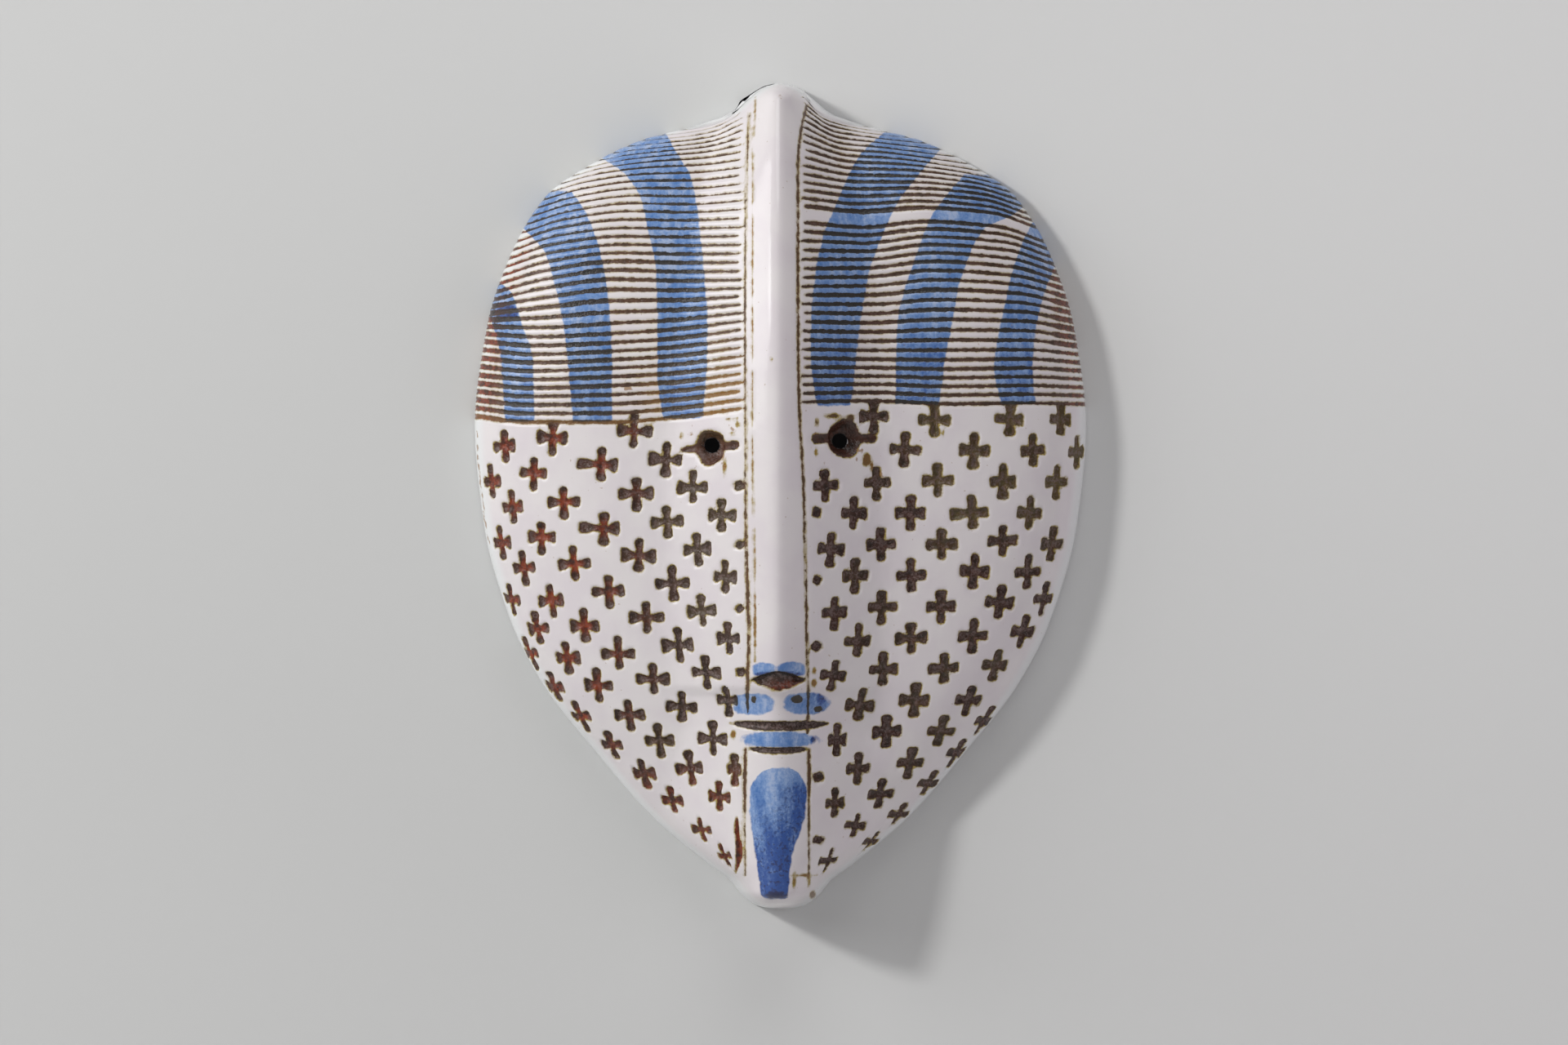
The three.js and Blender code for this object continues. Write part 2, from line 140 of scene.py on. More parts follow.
def bodyDepth(ridge, x, z):
    flank, cheek = ridge - flankDrop(x, z), pillow(z)
    return 0.5 * (flank + cheek + np.hypot(flank - cheek, form["valleyBlend"]))


def faceDepth(x, z):
    body = bodyDepth(crestDepth(z), x, z)
    return form["rimLand"] + (body - form["rimLand"]) * rimFade(x / outline(z))


def faceNormal(x, z):
    step = 0.4
    across = (faceDepth(x + step, z) - faceDepth(x - step, z)) / (2 * step)
    up = (faceDepth(x, z + step) - faceDepth(x, z - step)) / (2 * step)
    normal = np.stack([-across, -np.ones_like(across), -up], axis=-1)
    return normal / np.linalg.norm(normal, axis=-1, keepdims=True)


def onFace(x, z):
    return np.stack([x, -faceDepth(x, z), z], axis=-1)


def faceOffset(x, z, near):  # the face's points near one of them, measured across and up from it
    normal = faceNormal(np.array(x), np.array(z))
    across = np.cross([0, 0, 1], normal)
    across /= np.linalg.norm(across)
    offset = facePoint[near] - onFace(np.array(x), np.array(z))
    return offset @ across, offset @ np.cross(normal, across)


# Comb lines, counted up from the cheek. The rows of the mesh follow them.
comb = {
    "lastLine": 37,
    "rowsPerLine": 4,
    "halfWidth": 0.66,
    "depth": 0.75,
    "endJitter": 0.9,
    "widthJitter": 0.12,
    "endWidth": 0.7,  # share of the width at the inner end
    "endTaper": (0, 4),  # from there to the full width
    "grooveSide": (0.05, 0.95),  # from full depth to none
    "grooveEnd": (-0.3, 1.5),
    "thickFade": 2,
    "across": [0, 0.25, 0.5, 0.8, 1],  # from the ridge's foot to the rim
    "sides": {  # line, and its height at those places
        -1: {"foot": 13.5, "lines": [
            [0, 181.6, 178.4, 176.7, 176.8, 179], [5, 197.4, 194.5, 193.2, 192.3, 194],
            [10, 213.3, 210.5, 209, 207.8, 209], [15, 228.4, 228.1, 228.7, 225.4, 221.5],
            [20, 244.4, 244.1, 244.4, 241.7, 236.5], [25, 260.4, 259, 259.3, 256.4, 252],
            [30, 275, 272.9, 271.9, 269.7, 266.6], [34, 285.2, 281, 279.3, 278.3, 277.5],
            [37, 291.5, 287.2, 285.1, 283.9, 283.5]]},
        1: {"foot": 9.8, "lines": [
            [0, 184, 184.5, 183.4, 183.7, 183.4], [5, 199.9, 199.6, 199.4, 199.8, 198.5],
            [10, 216.4, 216.2, 217.7, 217, 213.6], [15, 232.5, 232.8, 235.2, 233.4, 228.4],
            [20, 249.2, 247.6, 249.7, 248, 242.6], [25, 263.9, 261.6, 261.9, 260, 255.4],
            [30, 278.8, 273.9, 272.9, 270.5, 268.5], [34, 289, 282.7, 280.9, 279.4, 278.6],
            [37, 295.1, 289.2, 286.5, 285, 284.5]]},
    },
    "missingRight": 21,  # one tooth of the comb left no line here
    "thick": [  # where it pressed harder: side, first and last line, from, to, how much wider
        (-1, 14, 17, -72, -46, 1.25), (-1, 0, 14, -112, -101, 1.4), (1, 7, 18, 99, 112, 1.5),
        (1, 22, 22, 7, 52, 1.25), (1, 20, 20, 7, 18, 1.15), (1, 18, 26, 7, 14, 1.12),
        (-1, 4, 37, -28, 0, 0.78), (1, 0, 12, 84, 98, 0.85)],
    "thinning": {-1: (214, 258, 0.64), 1: (245, 280, 0.85)},  # towards the crown: from, to, how much
}

grid = {
    "ridgeColumns": 15,
    "cheekColumns": 112,
    "footShare": 0.7,  # the ridge takes no more than this share of the half width
    "crowding": 1.15,  # columns crowd towards the rim
    "crownRows": 12,
    "cheekBands": [[0, 6.5, 8], [6.5, 54, 44], [54, 90, 50], [90, 181, 88]],  # from, to, rows
}


def rowHeight(side, level, t):
    line = np.clip(level, 0, comb["lastLine"])
    lines = comb["sides"][side]["lines"]
    heights = [ofRows(lines, i + 1, line) for i in range(len(comb["across"]))]
    height = through(list(zip(comb["across"], heights)))(t)
    above = lerp(height, form["height"], np.maximum(0, level - comb["lastLine"]))
    return np.where(level < 0, height * (1 + level), above)


def rowLevels():  # -1 is the chin's end, 0 to 37 are the lines and 38 is the crown's end
    base = grid["cheekBands"][-1][1]
    low = [lerp(start, end, i / rows) / base - 1
           for start, end, rows in grid["cheekBands"] for i in range(rows)]
    lines = np.arange(0, comb["lastLine"] + 0.01, 1 / comb["rowsPerLine"])
    crownSteps = np.arange(1, grid["crownRows"] + 1) / grid["crownRows"]
    return np.array([*low, *lines, *(comb["lastLine"] + np.sin(math.pi / 2 * crownSteps))])


def facePlan(side, level, column):  # where a column, counted out from the ridge, meets a level
    rimX = outline(rowHeight(side, level, 1))
    foot = np.minimum(comb["sides"][side]["foot"], grid["footShare"] * rimX)
    w = np.minimum(1, column / grid["ridgeColumns"])
    middle = (rowHeight(-1, level, 0) + rowHeight(1, level, 0)) / 2
    ridgeZ = lerp(middle, rowHeight(side, level, 0), fadeIn(w, 0, 1))
    outwards = np.maximum(0, column - grid["ridgeColumns"]) / grid["cheekColumns"]
    t = 1 - (1 - outwards) ** grid["crowding"]
    x = lerp(form["ridgeX"] + side * foot, side * rimX, t)
    cheekZ = rowHeight(side, level, t)
    isRidge = column <= grid["ridgeColumns"]
    return np.where(isRidge, form["ridgeX"] + side * foot * w, x), np.where(isRidge, ridgeZ, cheekZ)


print("mask: the bare face")
random.seed(7)
levels = rowLevels()
rowCount = len(levels) - 1
sideColumns = grid["ridgeColumns"] + grid["cheekColumns"]
columnCount = 2 * sideColumns
columnSide = np.where(np.arange(columnCount + 1) < sideColumns, -1, 1)
fromRidge = np.abs(np.arange(columnCount + 1) - sideColumns)
faceX = np.zeros((rowCount + 1, columnCount + 1))
faceZ = np.zeros_like(faceX)
for side in (-1, 1):
    picked = columnSide == side
    level, column = np.meshgrid(levels, fromRidge[picked], indexing="ij")
    faceX[:, picked], faceZ[:, picked] = facePlan(side, level, column)
isLeft = np.broadcast_to(columnSide < 0, faceX.shape)
faceLevel = np.broadcast_to(levels[:, None], faceX.shape)
facePoint = onFace(faceX, faceZ)
rimX = outline(faceZ)
toRim = rimX - np.abs(faceX)
farAway = np.full_like(faceX, 9)  # further from an edge than anything reads


def combWidth(line):  # how wide each point's line is, next to the usual width
    width = np.ones_like(faceX)
    for side, (low, high, factor) in comb["thinning"].items():
        width = width * np.where(columnSide == side, lerp(1, factor, fadeIn(faceZ, low, high)), 1)
    fade = comb["thickFade"]
    for side, first, last, start, end, factor in comb["thick"]:
        isHere = (columnSide == side) & (line >= first) & (line <= last)
        along = fadeIn(faceX, start - fade, start + fade) * fadeOut(faceX, end - fade, end + fade)
        width = width * np.where(isHere, lerp(1, factor, along), 1)
    return width


def combLines():  # distance to the nearest line's edge, and its groove
    perLevel = np.linalg.norm(np.gradient(facePoint, levels, axis=0), axis=-1)
    nearest = np.clip(np.round(faceLevel), 0, comb["lastLine"])
    missing = comb["missingRight"]
    neighbour = np.where(faceLevel < missing, missing - 1, missing + 1)
    nearest = np.where(~isLeft & (nearest == missing), neighbour, nearest)
    drawn = [[random.uniform(-1, 1) for _ in range(comb["lastLine"] + 1)] for _ in range(2)]
    jitter = np.array(drawn)[np.where(isLeft, 0, 1), nearest.astype(int)]
    foot = np.where(isLeft, comb["sides"][-1]["foot"], comb["sides"][1]["foot"])
    fromEnd = np.abs(faceX - form["ridgeX"]) - foot - jitter * comb["endJitter"]
    fromLine = np.abs(faceLevel - nearest) * perLevel
    halfWidth = comb["halfWidth"] * combWidth(nearest) * (1 + comb["widthJitter"] * jitter)
    halfWidth = halfWidth * lerp(comb["endWidth"], 1, fadeIn(fromEnd, *comb["endTaper"]))
    groove = comb["depth"] * fadeOut(fromLine, *comb["grooveSide"])
    return (np.hypot(fromLine, np.maximum(0, -fromEnd)) - halfWidth,
            groove * fadeIn(fromEnd, *comb["grooveEnd"]))


# Stamped crosses: a chequered lattice laid along the curved cheeks
stamps = {
    "height": 12.3,
    "arms": {  # widths of waist, end and round corners, across and upright
        -1: [(1.9, 4.5, 1.7), (2.1, 3.7, 3)], 1: [(2.5, 4.1, 1.7), (2.6, 3.8, 2.7)]},
    "widening": (0.15, 0.85),  # the stretch of an arm that widens
    "fillet": 1,
    "depth": 1.4,
    "wall": (-0.8, 0.2),  # from full depth to none
    "bead": (0.05, 0.9, 0.5),  # glaze that gathers round a stamp: height, place, half width
    "reach": 12,  # no stamp is larger than this
    "rows": 15,
    "rimGap": 2.4,
    "lowest": 14,
    "level": 100,  # where the columns' start and pitch are measured
    "lengthFrom": 10,  # from the ridge: lengths along the face begin here
    "lengthStep": 0.25,
    "closeUpBelow": 130,
    "closeUpReach": 14,
    "clearOfEye": 9.5,
    "turn": 0.07,  # how much one stamp differs from the next
    "stretch": 0.09,
    "swell": 0.2,
    "lowShrink": (0.25, 25, 55),  # how much shorter the lowest stamps are, between two heights
    "lowThin": (0.62, 18, 52),  # and how thin their arms
    "rimShrink": {-1: 0.18, 1: 0},  # how much narrower they are at the rim
    "rimStretch": (12, 36),
    "longArm": 1.4,
    "olive": {"across": (44, 66), "up": (120, 150), "least": -0.3, "most": 0.4, "farLeft": -45,
              "mostFarLeft": 0.05, "limit": 0.95},
    "resized": {  # side, column and row: across, up
        (-1, 0, 5): (0.84, 1), (-1, 0, 7): (0.8, 1), (-1, 0, 9): (0.72, 0.95), (-1, 0, 11): (0.46, 1),
        (-1, 1, 12): (0.81, 1), (-1, 1, 14): (0.84, 1), (1, 0, 10): (0.75, 0.95), (1, 0, 12): (0.76, 1)},
    "sides": {
        -1: {"top": 176.6, "rowPitch": 11.21, "rowDrop": 1.19, "parity": 1, "columns": 9,
             "start": 9.7, "pitch": 11.2, "lean": 0.069, "fan": 0.018, "closeUp": 1.5, "width": 12.6,
             "missing": [(1, 0), (0, 13)], "longArms": [(4, 1), (4, 3)]},
        1: {"top": 177.8, "rowPitch": 11.36, "rowDrop": 0, "parity": 0, "columns": 10,
            "start": 12.2, "pitch": 11, "lean": -0.037, "fan": 0.011, "closeUp": 4, "width": 11.3,
            "missing": [(0, 0)], "longArms": [(5, 3)]},
    },
    "moved": {  # by side: column and row of a stamp that was pressed beside its place, and how far
        -1: {
            (3, 0): (3.8, 0.5), (5, 0): (-2.1, 0.5), (7, 0): (1.2, -0.2), (2, 1): (2, 0.2),
            (4, 1): (2.2, 0.7), (8, 1): (2.1, -0.7), (3, 2): (1.8, 0.2), (5, 2): (-1.8, -0.5),
            (6, 3): (-1, -0.9), (8, 3): (1.6, -0.5), (5, 4): (-1.4, -0.6), (4, 5): (-1.2, -0.5),
            (6, 5): (-1.4, -1.6), (5, 6): (-1.3, -0.8), (4, 7): (-0.9, -0.9), (8, 7): (-0.7, 2.5),
            (7, 8): (0, 0.5), (4, 9): (1, -0.7), (0, 9): (-1.4, 0), (1, 10): (1.1, -1.6),
            (0, 11): (-0.2, -2.6), (3, 12): (-1.2, 0.6), (1, 12): (1.4, -0.3), (1, 14): (-0.5, 0)},
        1: {
            (2, 0): (-2.1, 1.1), (4, 0): (-3.2, -0.3), (6, 0): (1.7, 0), (3, 1): (-2.2, 0.3),
            (9, 1): (-0.6, -0.4), (0, 2): (-0.8, -1.3), (2, 2): (-1.2, -0.3), (4, 2): (-1.6, 0.4),
            (0, 4): (0.7, -1.7), (6, 4): (0.7, 1.3), (5, 5): (1, 1.5), (7, 5): (0.6, 1.2),
            (0, 6): (1.4, -2), (6, 6): (0.7, 1.5), (1, 7): (0.6, -1.1), (5, 7): (1.5, 0.7),
            (7, 7): (1.2, 0.6), (0, 8): (0.3, -2.2), (4, 8): (1.3, 0.3), (6, 8): (0.8, 0.9),
            (1, 9): (0.4, -1.7), (0, 10): (0.7, -2.9), (6, 10): (1.9, 0), (1, 11): (-0.3, -2),
            (5, 11): (1.7, 0), (0, 12): (-0.6, -3.1), (4, 12): (2, 0.3), (3, 13): (2.9, 0.7),
            (0, 14): (-1.3, -2.3), (2, 14): (5, 1.7)},
    },
    "squareness": 0.1,  # of the ends below
    # ends of arms that come out beside the ridge: across, height, half sizes
    "armEnds": [[13.2, 143.9, 1.6, 2], [13.4, 119.5, 1.5, 1.7], [13.2, 95.4, 2, 1.8],
                [13.9, 47.8, 2, 1.9], [13.8, 25, 2.1, 1.5], [-15.2, 153.7, 1.9, 1.8],
                [-14.9, 132.3, 1.9, 1.6], [-15, 109.1, 1.6, 1.5], [-14.6, 85.9, 1.7, 1.7]],
    "scrape": [[13.4, -16.3, 0.3], [17, -15.4, 0.7], [20.5, -15, 1.1], [26, -15.6, 0.7], [29, -15.9, 0.8],
               [33, -15.9, 0.25]],  # a long cut left of the chin: height, place across, half width
}

eyes = {
    "places": [
        {"x": -25.6, "z": 167.6, "holeX": -24.8, "holeZ": 168.3, "halfAcross": 5.3, "halfUp": 6.4,
         "arm": 21, "taper": 0.6, "tilt": 0.09},
        {"x": 23.3, "z": 170.8, "holeX": 21.5, "holeZ": 169.9, "halfAcross": 5.9, "halfUp": 7,
         "arm": 23.6, "taper": 1.3, "tilt": 0}],
    "holeRadius": 2.75,
    "depth": 5,
    "boreLength": 120,
    "uneven": 0.03,
    "barWidth": 2.9,
    "barDepth": 1.2,
    "barWall": (-0.8, 0.3),
    "taperFrom": 4,
    "blend": 1,
}


def xAlongFace(side, z, length):  # follows the face outwards at one height for a given length
    rim = float(outline(z))
    run = np.arange(stamps["lengthFrom"], rim, stamps["lengthStep"])
    depth = faceDepth(form["ridgeX"] + side * run, np.full_like(run, z))
    used = np.concatenate([[0], np.cumsum(np.hypot(np.diff(run), np.diff(depth)))])
    return form["ridgeX"] + side * float(np.interp(length, used, run, right=rim))


def stampCentres(side):  # across, up, how far the arm to the left reaches, and the size across and up
    spec = stamps["sides"][side]
    moved = stamps["moved"][side]
    centres = []
    for column in range(spec["columns"]):
        for row in range(stamps["rows"]):
            place = (column, row)
            z = spec["top"] - spec["rowPitch"] * row - spec["rowDrop"] * column
            if (column + row) % 2 != spec["parity"] or z <= stamps["lowest"] or place in spec["missing"]:
                continue
            rise = z - stamps["level"]
            length = spec["start"] + spec["lean"] * rise + column * (spec["pitch"] + spec["fan"] * rise)
            x = xAlongFace(side, z, length)
            rimGap = float(outline(z)) - abs(x)
            isOnEye = any(math.hypot(x - e["x"], z - e["z"]) < stamps["clearOfEye"] for e in eyes["places"])
            if isOnEye or rimGap <= stamps["rimGap"] and place not in moved:
                continue
            isLow = z < stamps["closeUpBelow"]
            lift = spec["closeUp"] * max(0, 1 - rimGap / stamps["closeUpReach"]) if isLow else 0
            across, up = moved.get(place, (0, 0))
            wide, high = stamps["resized"].get((side, *place), (1, 1))
            shrink, low, lowEnd = stamps["lowShrink"]
            nearRim = fadeOut(rimGap, *stamps["rimStretch"])
            wide *= spec["width"] * (1 - stamps["rimShrink"][side] * nearRim)
            high *= stamps["height"] * (1 - shrink * fadeOut(z, low, lowEnd))
            longArm = stamps["longArm"] if place in spec["longArms"] else 1
            centres.append((x + across, z + lift + up, longArm, wide / 2, high / 2))
    return centres


def varied(value, amount):
    return value * (1 + random.uniform(-1, 1) * amount)


def armDistance(along, across, reach, shape, thin):  # a rounded arm that widens from its waist to its end
    waist, end, corner = [thin * varied(size, stamps["swell"]) / 2 for size in shape]
    half = lerp(waist, end, fadeIn(along / reach, *stamps["widening"]))
    a = np.abs(across) - half + corner
    b = np.maximum(along - reach, -along - waist) + corner
    return np.hypot(np.maximum(a, 0), np.maximum(b, 0)) + np.minimum(0, np.maximum(a, b)) - corner


def softMin(a, b, blend):
    w = np.maximum(0, blend - np.abs(a - b)) / blend
    return np.minimum(a, b) - w * w * blend / 4


def oliveTone(side, x, z):  # some stamps came out olive, most of them high up at the right
    spec = stamps["olive"]
    high = fadeIn(x, *spec["across"]) * fadeIn(z, *spec["up"])
    most = spec["most"] if side > 0 or x > spec["farLeft"] else spec["mostFarLeft"]
    return float(np.clip(high + random.uniform(spec["least"], most), 0, spec["limit"]))


def ovalReach(x, z, halfX, halfZ):  # 0 in the middle of an oval and 1 at its edge
    return np.hypot((faceX - x) / halfX, (faceZ - z) / halfZ)


def pastEnds(path):  # how far below its first point or above its last
    return np.maximum(path[0][0] - faceZ, faceZ - path[-1][0])


def pathDistance(path):  # distance to the edge of a cut that runs up the face
    aside = faceX - ofRows(path, 1, faceZ)
    return np.hypot(aside, np.maximum(0, pastEnds(path))) - ofRows(path, 2, faceZ)


def stampedCrosses():  # distance to the nearest edge, distance to the middle, how olive, and the cut
    edge = farAway.copy()
    middle = farAway.copy()
    olive = np.zeros_like(faceX)
    lowThin, thinFrom, thinTo = stamps["lowThin"]
    for side in (-1, 1):
        across, upright = stamps["arms"][side]
        for x, z, longArm, halfWidth, halfHeight in stampCentres(side):
            near = np.maximum(np.abs(faceX - x), np.abs(faceZ - z)) < stamps["reach"]
            turn = random.uniform(-1, 1) * stamps["turn"]
            u, v = faceOffset(x, z, near)
            u, v = u * math.cos(turn) + v * math.sin(turn), v * math.cos(turn) - u * math.sin(turn)
            arms = [(u, v, halfWidth, across), (-u, v, halfWidth * longArm, across),
                    (v, u, halfHeight, upright), (-v, u, halfHeight, upright)]
            thin = lerp(lowThin, 1, fadeIn(z, thinFrom, thinTo))
            cross = None
            for along, aside, reach, shape in arms:
                arm = armDistance(along, aside, varied(reach, stamps["stretch"]), shape, thin)
                cross = arm if cross is None else softMin(cross, arm, stamps["fillet"])
            olive[near] = np.where(cross < edge[near], oliveTone(side, x, z), olive[near])
            edge[near] = np.minimum(edge[near], cross)
            middle[near] = np.minimum(middle[near], np.hypot(u, v))
    for x, z, halfX, halfZ in stamps["armEnds"]:
        corners = 1 + stamps["squareness"] * np.sin(4 * np.arctan2(faceZ - z, faceX - x) + z)
        edge = np.minimum(edge, (ovalReach(x, z, halfX, halfZ) - corners) * min(halfX, halfZ))
    edge = np.minimum(edge, pathDistance(stamps["scrape"]))
    height, place, half = stamps["bead"]
    cut = stamps["depth"] * fadeOut(edge, *stamps["wall"])
    return edge, middle, olive, cut - height * np.exp(-((edge - place) / half) ** 2)


def carvedEyes():
    edge = farAway
    cut = np.zeros_like(faceX)
    for eye in eyes["places"]:
        u, v = faceX - eye["x"], faceZ - eye["z"]
        angle = np.arctan2(v, u)
        uneven = 1 + eyes["uneven"] * (np.sin(3 * angle + eye["x"]) + np.sin(5 * angle + eye["z"]))
        fromDish = (np.hypot(u / eye["halfAcross"], v / eye["halfUp"]) - uneven) * eye["halfAcross"]
        dish = eyes["depth"] * np.clip(-fromDish / (eye["halfAcross"] - eyes["holeRadius"]), 0, 1)
        taper = lerp(1, eye["taper"], fadeIn(-u, eyes["taperFrom"], eye["arm"] / 2))
        half = eyes["barWidth"] / 2 * taper
        fromBar = np.hypot(np.maximum(0, np.abs(u) - eye["arm"] / 2 + half), v - eye["tilt"] * u) - half
        bar = eyes["barDepth"] * fadeOut(fromBar, *eyes["barWall"])
        cut = np.maximum(cut, np.maximum(dish, bar))
        edge = np.minimum(edge, softMin(fromDish, fromBar, eyes["blend"]))
    return edge, cut


# Nose and mouth: cuts across the ridge, with pointed or blunt ends
lips = {
    "wall": (-1.2, 0.35),
    "cuts": [  # across, height, half length, above and below, how blunt, rise of the ends, depth
        (-0.8, 83.3, 10, 2.8, 4.1, 1.8, 0, 2.6),
        (-0.4, 66.3, 18.1, 1.7, 1.6, 4, 1.1, 1.3),
        (-0.4, 57.5, 11, 1.05, 1.15, 5, 0.7, 1.2)],
}


def lipCuts():
    edge = farAway
    cut = np.zeros_like(faceX)
    for x, z, halfLength, above, below, blunt, rise, depth in lips["cuts"]:
        along = np.abs(faceX - x) / halfLength
        up = faceZ - z - rise * along**2
        inside = np.abs(up) - np.where(up > 0, above, below) * (1 - np.minimum(1, along) ** blunt)
        lens = np.where(along > 1, np.hypot(up, (along - 1) * halfLength), inside)
        edge = np.minimum(edge, lens)
        cut = np.maximum(cut, depth * fadeOut(lens, *lips["wall"]))
    return edge, cut


# Thin lines scratched along the ridge
scratches = {
    "depth": 0.25,
    "wall": (-0.3, 0.4),
    "breaks": {"depth": 0.4, "waves": (0.55, 0.23), "least": 0.5},  # gaps in the yellow line
    "lines": [  # how yellow it is, and all along: height, place across, half width
        (0.1, [[63.8, 9.9, 0.4], [79.8, 10.1, 0.35], [94, 9.7, 0.45], [122, 9.2, 0.42], [152, 8.5, 0.42],
               [188, 6.7, 0.42], [224, 6.4, 0.42], [270, 6.4, 0.42], [283, 7.6, 0.42], [292, 9.7, 0.42]]),
        (0.15, [[71.4, -12, 0.28], [79, -12, 0.5], [98.7, -11.6, 0.55], [140, -12.6, 0.5],
                [160, -12.6, 0.36], [211, -12.9, 0.3], [271, -12.3, 0.3], [289, -11.4, 0.3]]),
        (1, [[90, -9.2, 0.3], [122, -9.4, 0.2], [182, -10.3, 0.17], [271, -10, 0.17], [295, -9.1, 0.17]]),
        (0.1, [[12, -12.9, 0.25], [33, -13.2, 0.3], [40, -13.1, 0.55], [58, -12.7, 0.6]]),
        (0.1, [[13, 10.4, 0.25], [40, 10.4, 0.32], [46, 10.5, 0.6], [57.5, 10.4, 0.5]])],
}


def nearestOf(parts):  # distance to the nearest part's edge, and how yellow that part is
    edge = farAway
    ochre = np.zeros_like(faceX)
    for distance, yellow in parts:
        ochre = np.where(distance < edge, yellow, ochre)
        edge = np.minimum(edge, distance)
    return edge, ochre


def scratchedLines():
    gaps = scratches["breaks"]
    waves = sum(np.sin(rate * faceZ) for rate in gaps["waves"])
    breaks = gaps["depth"] * np.maximum(0, waves - gaps["least"])
    edge, ochre = nearestOf([(pathDistance(path) + breaks * (yellow == 1), yellow)
                             for yellow, path in scratches["lines"]])
    return edge, scratches["depth"] * fadeOut(edge, *scratches["wall"]), ochre


